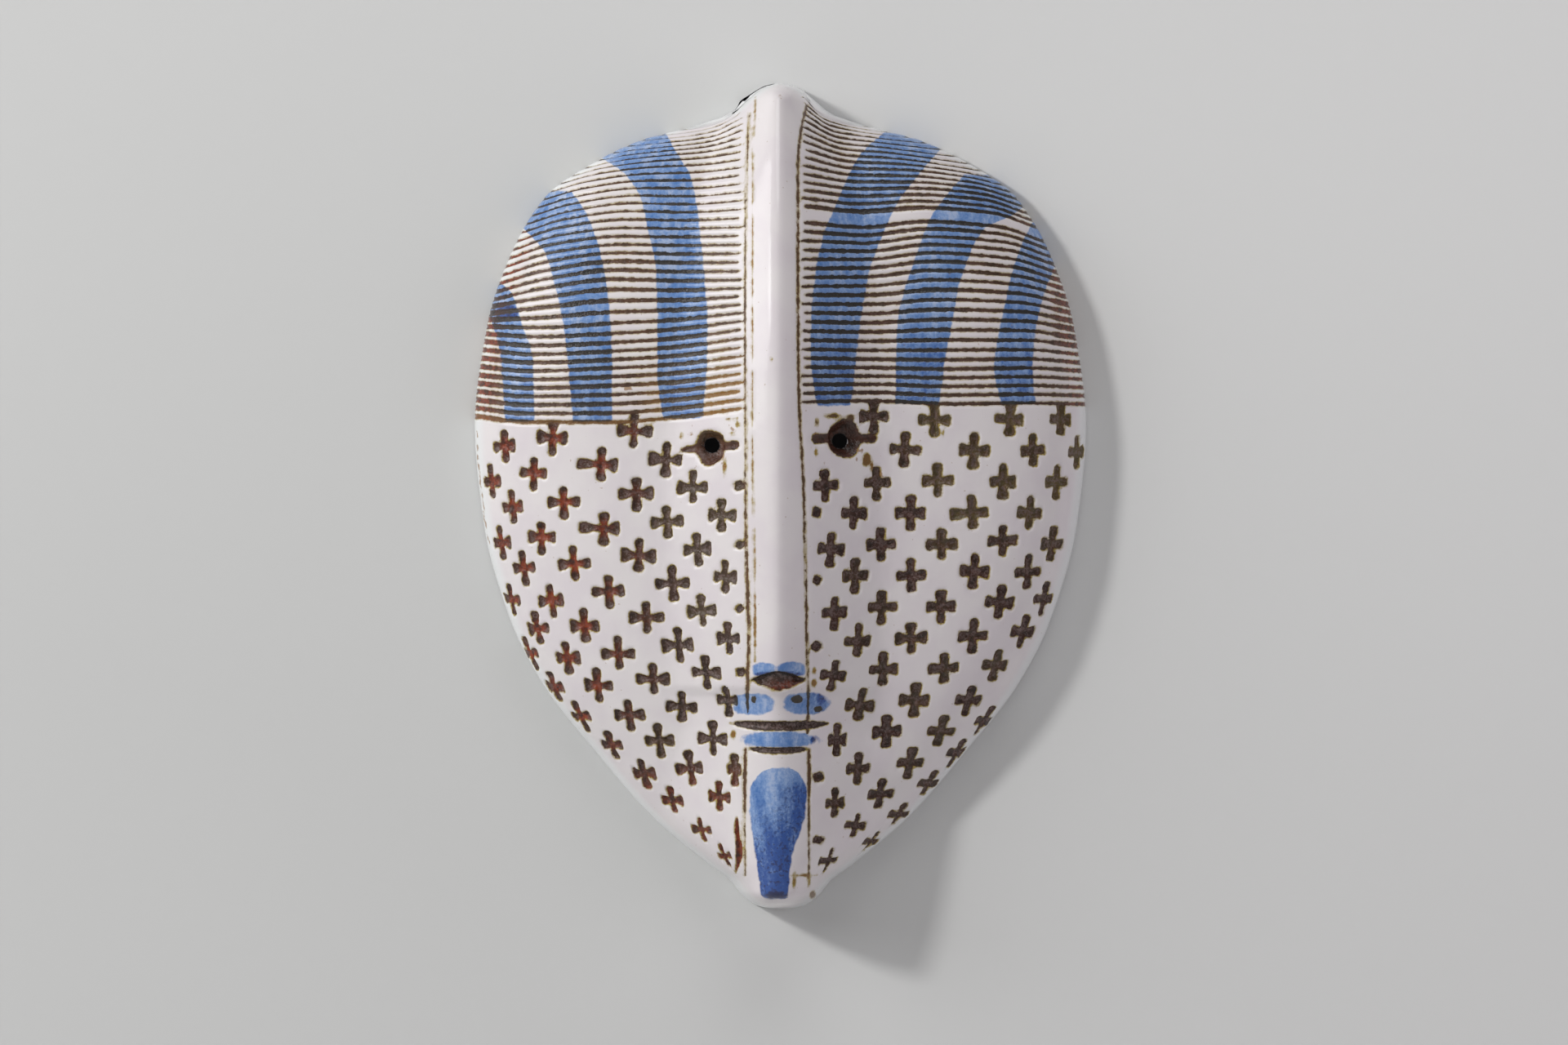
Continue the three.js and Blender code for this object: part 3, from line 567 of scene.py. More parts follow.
# Paint: brush bands over the forehead, the patch on the chin and the ovals round the mouth
paint = {
    "bands": [  # height, from, to
        [[178, -42.7, -28.4], [194, -44.7, -26.9], [212, -44.7, -26.6], [232, -45.3, -27.8],
         [247, -48.3, -29.3], [258, -50.7, -30.8], [267, -56.6, -32.8], [273, -65, -36.6], [286, -84, -44]],
        [[177, -75.4, -61.1], [194, -76.9, -61.1], [212, -78.9, -61.6], [226, -81.9, -63.2],
         [238, -85.5, -65.3], [246, -92.3, -67.8], [251, -98, -69.7], [261, -110, -76]],
        [[177, -100.3, -89.3], [200, -101.8, -90.2], [212, -104.8, -93.8], [224, -110, -98],
         [229, -114, -104]],
        [[182.6, 13.2, 25.7], [200, 11.1, 27.5], [212, 11.1, 29], [230, 12.6, 32], [244.5, 15.6, 37],
         [257, 20.7, 43], [267, 25, 50.4], [274, 29, 56.3], [286, 42, 68]],
        [[183.4, 41.8, 57.8], [200, 42, 59.9], [212, 42.4, 62.3], [225, 45.1, 64.6], [237, 49.2, 68.6],
         [247, 52.8, 74], [252, 55.2, 84], [258, 59.3, 92], [267, 66.7, 104]],
        [[183.4, 80.1, 92.9], [196, 77.7, 91.7], [208.7, 79.2, 92.7], [221, 81.8, 95.2], [231, 84.2, 98.9],
         [244.4, 89, 106], [250, 92, 110]],
        [[3.6, -5.2, 2.1], [4.6, -6.9, 2.7], [9.5, -7.7, 3.1], [14.7, -8.2, 3.6], [20.7, -9.4, 4.6],
         [28.1, -10.2, 7.3], [35.5, -11.1, 9.1], [42.2, -11.1, 9.7], [46.7, -9.4, 8.4], [49.8, -6.5, 6],
         [51.3, -3, 3]],
    ],
    "ovals": [  # middle across, height, half sizes
        [-6.1, 86.8, 4.1, 2.8], [4, 86.9, 5, 2.9], [-9.9, 74.4, 7.8, 3.9], [9.4, 74.5, 8.4, 4],
        [-0.3, 61.5, 13.6, 2.9],
    ],
    "pools": [  # thick blue: across, height, half sizes, strength
        [14.9, 76.4, 2, 2, 0.9], [12.1, 61.3, 1.3, 1.3, 1], [-99.5, 216.8, 4.5, 3.4, 1.2],
        [-1.6, 4.9, 5.6, 1.3, 1.4], [-6.1, 84.9, 3.8, 1.5, 0.9], [4.2, 84.9, 4.6, 1.5, 1],
    ],
    "spots": [  # brown or olive: across, height, half sizes, how yellow
        [-9.6, 76.1, 0.7, 1.1, 0.4], [6.1, 76.1, 1.9, 1.5, 0.25], [13.8, 72.5, 1.5, 1, 0.25],
        [12.3, 82, 0.8, 1.1, 0.8], [12.3, 86.5, 0.4, 0.8, 0.9], [-17.2, 63.4, 0.7, 1.2, 1],
        [11.7, 4.9, 0.9, 1.2, 0.5], [8.3, 12.2, 2, 0.3, 0.8], [5, 10.8, 0.3, 1.5, 0.8],
        [10.3, 11.6, 0.3, 1.7, 0.8], [13.2, 176.6, 0.6, 1.3, 0.2], [19, 179, 2.2, 0.8, 0.1],
        [25.2, 178.4, 1.7, 1.1, 0.1], [31.3, 163, 1.4, 2.2, 0.5], [33.2, 160.6, 0.5, 1.5, 0.8],
        [-20.3, 160.3, 0.5, 2, 0.9], [-19, 177.7, 0.6, 0.4, 1], [-16, 177.9, 0.5, 0.5, 1],
        [-15.5, 176, 0.5, 0.8, 1], [-17.4, 172.6, 0.7, 0.4, 1], [-3.3, 199.3, 0.4, 0.5, 1],
        [-36, 172, 0.4, 0.7, 1], [13, 165.6, 0.4, 0.8, 1], [58.9, 172.9, 0.4, 0.7, 1],
    ],
    "smudges": [  # across, height, half sizes, strength
        [-0.2, 295.5, 2.6, 1.5, 0.5], [36.6, 157.5, 1.8, 2.6, 0.7], [28.5, 165.5, 3.2, 3, 0.6],
        [-21, 163.5, 1.6, 3, 0.6], [12.4, 172.4, 1.4, 1.6, 0.7], [-17.5, 174.5, 2.6, 2.4, 0.5],
        [-31.5, 172.5, 4, 2.2, 0.45], [44.7, 146.5, 1, 1.5, 0.5], [-6, 190.5, 0.8, 0.8, 0.5],
        [22.5, 168, 10.5, 11, 0.4], [-55.5, 189, 2.2, 1, 0.9], [-27.5, 155.5, 3, 3, 0.4],
    ],
    "rimLine": {  # thin bare clay along the rim at the left
        "fadeIn": (117, 137), "fadeOut": (170, 178), "inset": 0.8, "half": (0.15, 0.85), "strength": 0.66},
    "cobalt": {  # how thick the blue lies, and where that changes
        "rightBands": 0.14, "bandFoot": 0.3, "bandFootUp": (180, 226),
        "mouthFrom": 55, "mouth": 0.05, "mouthRight": 0.3, "mouthAcross": (4, 14),
        "chinTop": 0.15, "chinFoot": 0.95, "chinUp": (4, 50),
        "chinCorner": 0.4, "cornerAcross": (-4, 4), "cornerUp": (42, 50)},
    "widened": {"by": 0.11, "inBlue": (-0.3, 0.5), "up": (222, 250)},  # comb lines in the left bands
    "ovalPower": 2.4,
    "smudgeFade": (0.3, 1.3),  # shares of their size
    "poolFade": (0.75, 1.1),
}


def bluePaint():
    edge = farAway
    for band in paint["bands"]:
        beside = np.maximum(ofRows(band, 1, faceZ) - faceX, faceX - ofRows(band, 2, faceZ))
        edge = np.minimum(edge, np.maximum(beside, pastEnds(band)))
    power = paint["ovalPower"]
    for x, z, halfX, halfZ in paint["ovals"]:
        r = ((np.abs(faceX - x) / halfX) ** power + (np.abs(faceZ - z) / halfZ) ** power) ** (1 / power)
        edge = np.minimum(edge, (r - 1) * min(halfX, halfZ))
    return edge


def patches(places, fade):  # soft round patches
    amount = np.zeros_like(faceX)
    for x, z, halfX, halfZ, strength in places:
        amount = np.maximum(amount, strength * fadeOut(ovalReach(x, z, halfX, halfZ), *fade))
    return amount


def brownSmudges():
    line = paint["rimLine"]
    isAlong = isLeft * fadeIn(faceZ, *line["fadeIn"]) * fadeOut(faceZ, *line["fadeOut"])
    isOnLine = fadeOut(np.abs(toRim - line["inset"]), *line["half"])
    return np.maximum(patches(paint["smudges"], paint["smudgeFade"]), line["strength"] * isAlong * isOnLine)


def leftRight(left, right):
    return np.where(isLeft, left, right)


def cobaltDepth():
    spec = paint["cobalt"]
    foot = spec["bandFoot"] * fadeOut(faceZ, *spec["bandFootUp"])
    bands = leftRight(0, spec["rightBands"]) + foot
    mouth = spec["mouth"] + spec["mouthRight"] * fadeIn(faceX, *spec["mouthAcross"])
    corner = fadeIn(faceX, *spec["cornerAcross"]) * fadeOut(faceZ, *spec["cornerUp"])
    chinTop = spec["chinTop"] + spec["chinCorner"] * corner
    chin = lerp(spec["chinFoot"], chinTop, fadeIn(faceZ, *spec["chinUp"]))
    low = np.where(faceZ > spec["mouthFrom"], mouth, chin)
    return np.maximum(np.where(faceLevel < 0, low, bands), patches(paint["pools"], paint["poolFade"]))


def brownSpots():
    return nearestOf([((ovalReach(x, z, halfX, halfZ) - 1) * min(halfX, halfZ), yellow)
                      for x, z, halfX, halfZ, yellow in paint["spots"]])


print("mask: lines, stamps, eyes, mouth and paint")
combEdge, combGroove = combLines()
stampEdge, toMiddle, stampOlive, stampCut = stampedCrosses()
eyeEdge, eyeCut = carvedEyes()
lipEdge, lipCut = lipCuts()
scratchEdge, scratchCut, scratchOchre = scratchedLines()
spotEdge, spotOchre = brownSpots()
edges = np.stack([combEdge, stampEdge, eyeEdge, lipEdge, scratchEdge, spotEdge])
inlayEdge = edges.min(axis=0)
nearestKind = edges.argmin(axis=0)


def byKind(*values):  # one value for each kind of cut: comb, stamp, eye, lip, scratch, spot
    return np.select([nearestKind == kind for kind in range(len(values))], values)


# How rusty, ochre or brown the dark glaze came out, and where
tones = {
    "stampLeft": {"across": (36, 78), "fromMiddle": (1.8, 4.6), "middle": 1.1, "ends": 0.12},
    "stampChin": {"up": (42, 58), "rust": 0.6},
    "stampRight": {"across": (0, 8), "rust": 0.12},
    "scrape": 0.9,
    "comb": 0.08,
    "rim": {"fromRim": (2, 9), "up": (232, 262), "left": 0.9, "right": 0.6},
    "nose": {"across": (-9, 2), "foot": (70, 76), "top": (81, 84), "rust": 0.6},
    "combRidge": {"across": (-56, -34), "up": (186, 216), "ochre": 0.9},
    "firstLine": {"level": (0.4, 1), "ochre": 0.5},
    "overEye": {"up": (167.5, 171.5), "left": 0.45, "right": 0.05},  # olive
    "glintUnderEye": {"up": (164.5, 167.5), "left": 0.8, "both": 0.1},  # painted grey glint over the eyes' dishes, strong on the lower half of the left one
    # painted reflection of the wall: the white turns paler within 0.8 to 4.5 mm of the rim
    "paintedRimReflection": (0.8, 4.5),
}


def stampRust():
    left, chin, right = tones["stampLeft"], tones["stampChin"], tones["stampRight"]
    amount = lerp(left["middle"], left["ends"], fadeIn(toMiddle, *left["fromMiddle"]))
    rust = amount * fadeIn(-faceX, *left["across"])
    rust = np.maximum(rust, chin["rust"] * isLeft * fadeOut(faceZ, *chin["up"]))
    rust = np.where(pathDistance(stamps["scrape"]) < 1, tones["scrape"], rust)
    return np.minimum(1, rust + right["rust"] * fadeIn(faceX, *right["across"]))


def combRust():
    rim = tones["rim"]
    nearRim = fadeOut(toRim, *rim["fromRim"]) * fadeOut(faceZ, *rim["up"])
    return tones["comb"] + nearRim * leftRight(rim["left"], rim["right"])


def noseRust():
    nose = tones["nose"]
    up = fadeIn(faceZ, *nose["foot"]) * fadeOut(faceZ, *nose["top"])
    return nose["rust"] * up * fadeIn(faceX, *nose["across"])


def combOchre():
    ridge, first = tones["combRidge"], tones["firstLine"]
    nearRidge = fadeIn(faceX, *ridge["across"]) * fadeOut(faceZ, *ridge["up"])
    firstLine = fadeOut(faceLevel, *first["level"])
    return isLeft * np.maximum(ridge["ochre"] * nearRidge, first["ochre"] * firstLine)


def widening():
    spec = paint["widened"]
    isWide = isLeft * (nearestKind == 0) * fadeIn(-blueEdge, *spec["inBlue"])
    return spec["by"] * isWide * fadeOut(faceZ, *spec["up"])


blueEdge = bluePaint()
rusty = stampRust()
over, under = tones["overEye"], tones["glintUnderEye"]
aboveEye = leftRight(over["left"], over["right"]) * fadeIn(faceZ, *over["up"])
# painted glint on the lower half of the eyes' dishes
paintedGlintBelowEye = under["both"] + under["left"] * isLeft * fadeOut(faceZ, *under["up"])
fields = {  # what the glaze reads, point by point
    "inlayEdge": inlayEdge - widening(),
    "blueEdge": blueEdge,
    "rust": byKind(combRust(), rusty, 0.15, noseRust(), 0.15, 0.1),
    "ochre": byKind(combOchre(), 0, 0, 0, scratchOchre, spotOchre),
    "olive": byKind(0.1, stampOlive, aboveEye, 0, 0.3, 0.5),
    "brown": byKind(leftRight(0.85, 0.55), leftRight(0.5, 0.2), leftRight(0.6, 0.15), 0.25, 0.4, 0.3),
    "haloAmount": byKind(0.65, 1, 1, 1, 0.7, 1),
    # paintedGlint: how much painted glint shows in the dark glaze, by kind of cut
    "paintedGlint": byKind(0.4, 0.9 - 0.7 * rusty, paintedGlintBelowEye, 0.9, 0.2, 0),
    "cobalt": cobaltDepth(),
    "smudge": brownSmudges(),
    "paintedRimReflection": fadeOut(toRim, *tones["paintedRimReflection"]),
}
surface = {
    "rimShare": 0.4,  # how much of a cut's depth is left at the rim
    "rimReach": (0, 2),
    "normalInset": 0.4,  # normals are taken this far inside the rim
    "leastDepth": 0.6,
}
deepest = np.maximum.reduce([combGroove, eyeCut, lipCut, scratchCut, np.maximum(stampCut, 0)])
relief = deepest + np.minimum(stampCut, 0)
relief *= lerp(surface["rimShare"], 1, fadeIn(toRim, *surface["rimReach"]))
safeX = rimX - surface["normalInset"]
finished = facePoint - faceNormal(np.clip(faceX, -safeX, safeX), faceZ) * relief[..., None]
finished[..., 1] = np.minimum(finished[..., 1], -surface["leastDepth"])


# Back of the mask
scene = bpy.context.scene
back = {
    "hollowScale": 0.94,  # the outline, drawn in towards its widest height
    "hollowLevel": 176,
    "hollowInset": 5,
    "hollowBottom": 14,
    "hollowTop": 279,
    "hollowRim": 1.5,
    "wall": 8,
    "columns": 44,
    "rows": 56,
    "nailRadius": 3.5,
    "nailDepth": 12,
    "nailHeight": 286.5,
    "cutSides": 48,
    "crispAngle": math.radians(25),
    "slack": 0.02,
}


def placed(point):
    return Vector((point[0], point[1], point[2] - form["hangHeight"])) * metres


def hollowGrid():
    bottom, top = back["hollowBottom"], back["hollowTop"]
    column, row = np.meshgrid(np.arange(back["columns"] + 1), np.arange(back["rows"] + 1))
    z = lerp(bottom, top, 0.5 - 0.5 * np.cos(math.pi * row / back["rows"]))
    across = np.sin((column / back["columns"] * 2 - 1) * math.pi / 2)
    widest = outline(back["hollowLevel"] + (z - back["hollowLevel"]) / back["hollowScale"])
    x = (widest - back["hollowInset"]) * across
    along = np.abs(z - (top + bottom) / 2) / ((top - bottom) / 2 + 1)
    body = bodyDepth(crest(z), x, z) - back["wall"]
    fade = rimFade(across) * np.sqrt(1 - along**8)
    return np.stack([x, -lerp(back["hollowRim"], body, fade), z], axis=-1)


def gridSheet(bm, points):  # a grid whose corners are moved onto rows and columns of points
    rows, columns = points.shape[0] - 1, points.shape[1] - 1
    verts = bmesh.ops.create_grid(bm, x_segments=columns, y_segments=rows, size=1)["verts"]
    cells = []
    for v in verts:
        column = round((v.co.x + 1) / 2 * columns)
        row = round((v.co.y + 1) / 2 * rows)
        v.co = placed(points[row, column])
        cells.append((row, column))
    border = {e for v in verts for e in v.link_edges if e.is_boundary}
    return verts, cells, list(border)


def cutter(bm, radius, depth, middle):  # a round bar along Y
    radius *= metres
    place = Matrix.Translation(placed(middle)) @ Matrix.Rotation(math.pi / 2, 4, "X")
    bmesh.ops.create_cone(bm, cap_ends=True, segments=back["cutSides"], radius1=radius, radius2=radius,
                          depth=depth * metres, matrix=place)


def newObject(name, bm):
    data = bpy.data.meshes.new(name)
    bm.to_mesh(data)
    bm.free()
    made = bpy.data.objects.new(name, data)
    scene.collection.objects.link(made)
    return made


def cutHoles(mask, holes):
    bm = bmesh.new()
    for x, z, radius, depth in holes:
        cutter(bm, radius, depth, (x, 0, z))
    bars = newObject("holeCutter", bm)
    hole = mask.modifiers.new("holes", "BOOLEAN")
    hole.object = bars
    hole.solver = "EXACT"
    cut = bpy.data.meshes.new_from_object(mask.evaluated_get(bpy.context.evaluated_depsgraph_get()))
    mask.modifiers.clear()
    mask.data = cut
    bpy.data.objects.remove(bars)


def crispEdges(mask, holes):  # smooth shading stops at the flat back and at the edges of the holes
    bm = bmesh.new()
    bm.from_mesh(mask.data)
    for e in bm.edges:
        if e.calc_face_angle(0) < back["crispAngle"]:
            continue
        if min(v.co.y for v in e.verts) > -back["slack"] * metres:
            e.smooth = False
        for x, z, radius, _ in holes:
            middle = placed((x, 0, z))
            reach = [math.hypot(v.co.x - middle.x, v.co.z - middle.z) for v in e.verts]
            if max(reach) < (radius + back["slack"]) * metres:
                e.smooth = False
    bm.to_mesh(mask.data)
    bm.free()


def makeMask():
    bm = bmesh.new()
    layers = {name: bm.verts.layers.float.new(name) for name in fields}
    front, cells, rimEdges = gridSheet(bm, finished)
    for name, layer in layers.items():
        for v, cell in zip(front, cells):
            v[layer] = fields[name][cell]
    inner, _, hollowEdges = gridSheet(bm, hollowGrid())
    for v in inner:
        v[layers["inlayEdge"]] = v[layers["blueEdge"]] = farAway[0, 0]
    rings = []
    for edges in (rimEdges, hollowEdges):
        made = bmesh.ops.extrude_edge_only(bm, edges=edges)["geom"]
        for v in made:
            if isinstance(v, bmesh.types.BMVert):
                v.co.y = 0
        rings += [e for e in made if isinstance(e, bmesh.types.BMEdge) and e.is_boundary]
    bmesh.ops.triangle_fill(bm, use_beauty=True, edges=rings, normal=(0, 1, 0))
    bmesh.ops.recalc_face_normals(bm, faces=bm.faces)
    mask = newObject("glazedMask", bm)
    # the two eye holes go right through, and the hole for the nail is blind
    holes = [(eye["holeX"], eye["holeZ"], eyes["holeRadius"], eyes["boreLength"])
             for eye in eyes["places"]]
    holes.append((0, back["nailHeight"], back["nailRadius"], 2 * back["nailDepth"]))
    cutHoles(mask, holes)
    crispEdges(mask, holes)
    return mask


print("mask: making the mesh")
mask = makeMask()
data = mask.data
data.polygons.foreach_set("use_smooth", [True] * len(data.polygons))
print("mask:", len(data.polygons), "faces,", len(data.attributes), "attributes")


# Glaze
look = {
    "white": (0.71, 0.672, 0.678),
    "shadeWhite": (0.672, 0.622, 0.648),
    # paler, cooler white of the painted reflection along the rim
    "rimReflectionWhite": (0.74, 0.75, 0.755),
    "blueLight": (0.215, 0.335, 0.58),
    "blueMid": (0.065, 0.175, 0.44),
    "blueDeep": (0.013, 0.066, 0.28),
    "blueThick": (0.01, 0.018, 0.085),
    "manganese": (0.021, 0.011, 0.008),
    "brown": (0.12, 0.064, 0.04),
    # colour of the painted glints in the dark glaze
    "paintedGlint": (0.175, 0.12, 0.112),
    "rustDark": (0.06, 0.012, 0.008),
    "rust": (0.24, 0.04, 0.011),
    "olive": (0.095, 0.075, 0.026),
    "ochre": (0.26, 0.125, 0.025),
    "halo": (0.33, 0.25, 0.065),
    "inkOnBlue": (0.018, 0.024, 0.026),
    "roughness": 0.16,
    "recessRoughness": 0.22,
    "inlaySide": (-0.12, 0.14),  # how sharply a recess and a brush stroke end
    "blueSide": (-0.4, 0.35),
    "widerInBlue": 0.13,
    "haloReach": 0.85,
    "bump": {"coarse": 0.1, "fine": 0.03, "speckle": 0.4, "recess": -0.22},
    "noise": {  # scale, detail, roughness
        "coarse": (60, 3, 0.5), "fine": (420, 3, 0.5), "grain": (1500, 2, 0.6),
        "speckle": (900, 2, 0.7), "fleck": (800, 1, 0.5), "patch": (150, 2, 0.5),
        "speck": (700, 1, 0.5)},
    "brushNoise": (260, 3, 0.6),
    "brushStretch": (1, 1, 0.25),
}


class Shader:  # short names for adding and joining nodes
    def __init__(self, name):
        self.material = bpy.data.materials.new(name)
        self.material.use_nodes = True
        self.tree = self.material.node_tree
        self.tree.nodes.clear()

    def add(self, kind, inputs=None, **settings):
        node = self.tree.nodes.new(kind)
        for key, value in settings.items():
            setattr(node, key, value)
        for key, value in (inputs or {}).items():
            self.feed(node.inputs[key], value)
        return node

    def feed(self, socket, value):
        if isinstance(value, bpy.types.NodeSocket):
            self.tree.links.new(value, socket)
        elif isinstance(value, tuple) and len(value) == 3 and socket.type == "RGBA":
            socket.default_value = (*value, 1)
        else:
            socket.default_value = value

    def field(self, name):
        return self.add("ShaderNodeAttribute", attribute_name=name).outputs["Fac"]

    def math(self, operation, a, b=0):
        return self.add("ShaderNodeMath", {0: a, 1: b}, operation=operation).outputs[0]

    def noise(self, where, scale, detail, roughness=0.5):
        inputs = {"Vector": where, "Scale": scale, "Detail": detail, "Roughness": roughness}
        return self.add("ShaderNodeTexNoise", inputs).outputs["Fac"]

    def ramp(self, value, low, high, start=0, end=1):
        inputs = {"Value": value, "From Min": low, "From Max": high, "To Min": start, "To Max": end}
        return self.add("ShaderNodeMapRange", inputs, interpolation_type="SMOOTHSTEP").outputs[0]

    def mix(self, amount, a, b):
        node = self.add("ShaderNodeMix", data_type="RGBA")
        self.feed(node.inputs["Factor"], amount)
        self.feed(node.inputs[6], a)
        self.feed(node.inputs[7], b)
        return node.outputs[2]

    def times(self, value, *others):
        for other in others:
            value = self.math("MULTIPLY", value, other)
        return value

    def plus(self, value, *others):
        for other in others:
            value = self.math("ADD", value, other)
        return value

    def swing(self, noise, amount):  # a noise's ups and downs
        return self.times(self.math("SUBTRACT", noise, 0.5), amount)


def paintedColor(s, noise, inBlue):  # white glaze with the blue brushed on it
    white = s.mix(s.ramp(noise["coarse"], 0.35, 0.7), look["white"], look["shadeWhite"])
    # painted reflection of the wall: the white is paler near the rim
    white = s.mix(s.field("paintedRimReflection"), white, look["rimReflectionWhite"])
    mottle = s.plus(s.swing(noise["brush"], 2.6), s.swing(noise["coarse"], 1),
                    s.swing(noise["speckle"], 1.4))
    cobalt = s.field("cobalt")
    blue = s.mix(s.math("MAXIMUM", 0, s.plus(0.4, mottle)), look["blueLight"], look["blueMid"])
    depth = s.plus(cobalt, s.times(mottle, s.ramp(cobalt, 0.05, 0.6, 0.15, 0.6)))
    blue = s.mix(s.ramp(depth, 0.1, 1), blue, look["blueDeep"])
    flecks = s.times(s.ramp(noise["fleck"], 0.56, 0.64), s.ramp(cobalt, 0.08, 0.95))
    blue = s.mix(s.times(flecks, 0.75), blue, look["blueThick"])
    blue = s.mix(s.ramp(depth, 1, 1.4), blue, look["blueThick"])
    cover = s.ramp(s.plus(mottle, cobalt), -0.7, 0.2, 0.72, 0.97)
    return s.mix(s.times(inBlue, cover), white, blue)


def stainedColor(s, noise, inBlue, inlay, color):  # yellow edges of the recesses, smudges and specks
    near = s.ramp(inlay, 0, look["haloReach"], 1, 0)
    halo = s.times(near, near, s.ramp(noise["patch"], 0.35, 0.65, 0.6, 1), s.field("haloAmount"),
                   s.ramp(inBlue, 0, 1, 1.25, 0.12))
    color = s.mix(halo, color, look["halo"])
    smudge = s.ramp(s.plus(s.field("smudge"), s.swing(noise["fine"], 1.7)), 0.5, 0.75)
    color = s.mix(s.times(smudge, 0.75), color, look["ochre"])
    return s.mix(s.times(s.ramp(noise["speck"], 0.77, 0.8), 0.4), color, look["ochre"])


def recessColor(s, noise, inBlue, inlay):  # dark glaze, broken by rust, ochre, olive and painted glints
    coarse, fine = noise["coarse"], noise["fine"]
    brown = s.times(s.field("brown"), s.ramp(noise["brush"], 0.3, 0.65, 0.35, 1))
    color = s.mix(brown, look["manganese"], look["brown"])
    color = s.mix(s.times(s.field("olive"), s.ramp(coarse, 0.3, 0.6, 0.5, 1)), color, look["olive"])
    rust = s.mix(s.ramp(fine, 0.3, 0.62), look["rustDark"], look["rust"])
    color = s.mix(s.times(s.field("rust"), s.ramp(fine, 0.25, 0.5, 0.45, 1)), color, rust)
    color = s.mix(s.times(s.field("ochre"), s.ramp(coarse, 0.2, 0.6, 0.6, 1)), color, look["ochre"])
    # painted glints: lighter grains inside the recesses, kept away from their edges
    glint = s.ramp(s.plus(s.times(noise["speckle"], 0.6), s.times(fine, 0.4)), 0.44, 0.6)
    inner = s.ramp(inlay, -0.75, -0.15, 0.85, 0)
    color = s.mix(s.times(s.field("paintedGlint"), inner, glint), color, look["paintedGlint"])
    return s.mix(s.times(inBlue, 0.78), color, look["inkOnBlue"])


def makeGlaze():
    s = Shader("paintedGlaze")
    where = s.add("ShaderNodeTexCoord").outputs["Object"]
    along = s.add("ShaderNodeMapping", {"Vector": where, "Scale": look["brushStretch"]}).outputs[0]
    noise = {name: s.noise(where, *spec) for name, spec in look["noise"].items()}
    noise["brush"] = s.noise(along, *look["brushNoise"])
    fine, speckle = noise["fine"], noise["speckle"]

    inBlue = s.ramp(s.plus(s.field("blueEdge"), s.swing(fine, 1.4)), *look["blueSide"], 1, 0)
    uneven = s.plus(s.swing(fine, 1.15), s.swing(noise["grain"], 0.35))
    inlay = s.plus(s.field("inlayEdge"), uneven, s.times(inBlue, -look["widerInBlue"]))
    inside = s.ramp(inlay, *look["inlaySide"], 1, 0)
    color = stainedColor(s, noise, inBlue, inlay, paintedColor(s, noise, inBlue))
    color = s.mix(inside, color, recessColor(s, noise, inBlue, inlay))

    bump = look["bump"]
    height = s.plus(s.times(noise["coarse"], bump["coarse"]), s.times(fine, bump["fine"]),
                    s.times(inside, speckle, bump["speckle"]), s.times(inside, bump["recess"]))
    normal = s.add("ShaderNodeBump", {"Height": height, "Distance": metres}).outputs[0]
    roughness = s.ramp(inside, 0, 1, look["roughness"], look["recessRoughness"])
    inputs = {"Base Color": color, "Roughness": roughness, "Normal": normal, "IOR": 1.5}
    shader = s.add("ShaderNodeBsdfPrincipled", inputs).outputs[0]
    s.add("ShaderNodeOutputMaterial", {"Surface": shader})
    return s.material


mask.data.materials.clear()
mask.data.materials.append(makeGlaze())
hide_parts("mask_body")
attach(mask, "root")


# Wall, floor, light and camera
room = {
    "wallColor": (0.715, 0.72, 0.715),
    "floorColor": (0.6, 0.6, 0.6),
    # painted shade on the wall and floor, darker low down and at the left: from, to, how much there; cloud:
    # scale, how much
    "shade": {"low": (-0.36, 0.05, 0.5), "left": (-0.28, 0.28, 0.6), "cloud": (3, 0.1), "tone": 0.84},
    "roughness": 0.85,
    "floorDrop": 0.75,
    "wallHalf": 1.6,
    "wallGap": 0.0006,
    "lights": [  # name, where from, how far, size, power, color, and whether the glaze mirrors it
        ("key", (-0.7, -0.61, 0.37), 3.2, 0.35, 43.5, (1, 0.99, 0.975), False),
        ("keyGlint", (-0.7, -0.61, 0.37), 3.2, 0.35, 4.5, (1, 1, 1), True),
        ("sideSoftbox", (-0.85, -0.36, 0.38), 2.4, 1.5, 19, (1, 1, 1), True),
        ("topSoftbox", (0.1, -0.55, 0.83), 2.4, 1.5, 12.5, (1, 1, 1), True),
        ("rightFill", (0.92, -0.4, 0), 1.5, 1.1, 3.9, (1, 0.91, 0.99), False),
        ("backFill", (0.3, 0.85, 0.45), 1.6, 0.8, 6, (1, 1, 1), False)],
    "litPoint": (0, 0, -0.15),
    "paintedShadow": {  # painted shadow: the wall is painted black where the mask covers it, so the eye holes stay black
        "z": -0.14, "halfX": 0.085, "halfZ": 0.115, "side": (0.85, 1),
        "color": (0.002, 0.002, 0.002)},
    "fill": 0.17,
    "view": 0.5708,  # width seen at the wall
    "lens": 1000,
    "sensor": 36,
    "seesTo": 100,
    "aim": (0.0013, -0.1537),
}


def stageSheet(name, size, turn, place, material):
    bm = bmesh.new()
    bmesh.ops.create_grid(bm, x_segments=8, y_segments=8, size=size,
                          matrix=Matrix.Translation(place) @ Matrix.Rotation(turn, 4, "X"))
    sheet = newObject(name, bm)
    sheet.data.materials.append(material)
    return sheet


# painted shadow on the wall behind the mask
def paintedShadow(s, across, height, tone):
    spot = room["paintedShadow"]
    offX = s.times(across, 1 / spot["halfX"])
    offZ = s.times(s.math("SUBTRACT", height, spot["z"]), 1 / spot["halfZ"])
    r = s.math("SQRT", s.plus(s.times(offX, offX), s.times(offZ, offZ)))
    return s.mix(s.ramp(r, *spot["side"], 1, 0), tone, spot["color"])


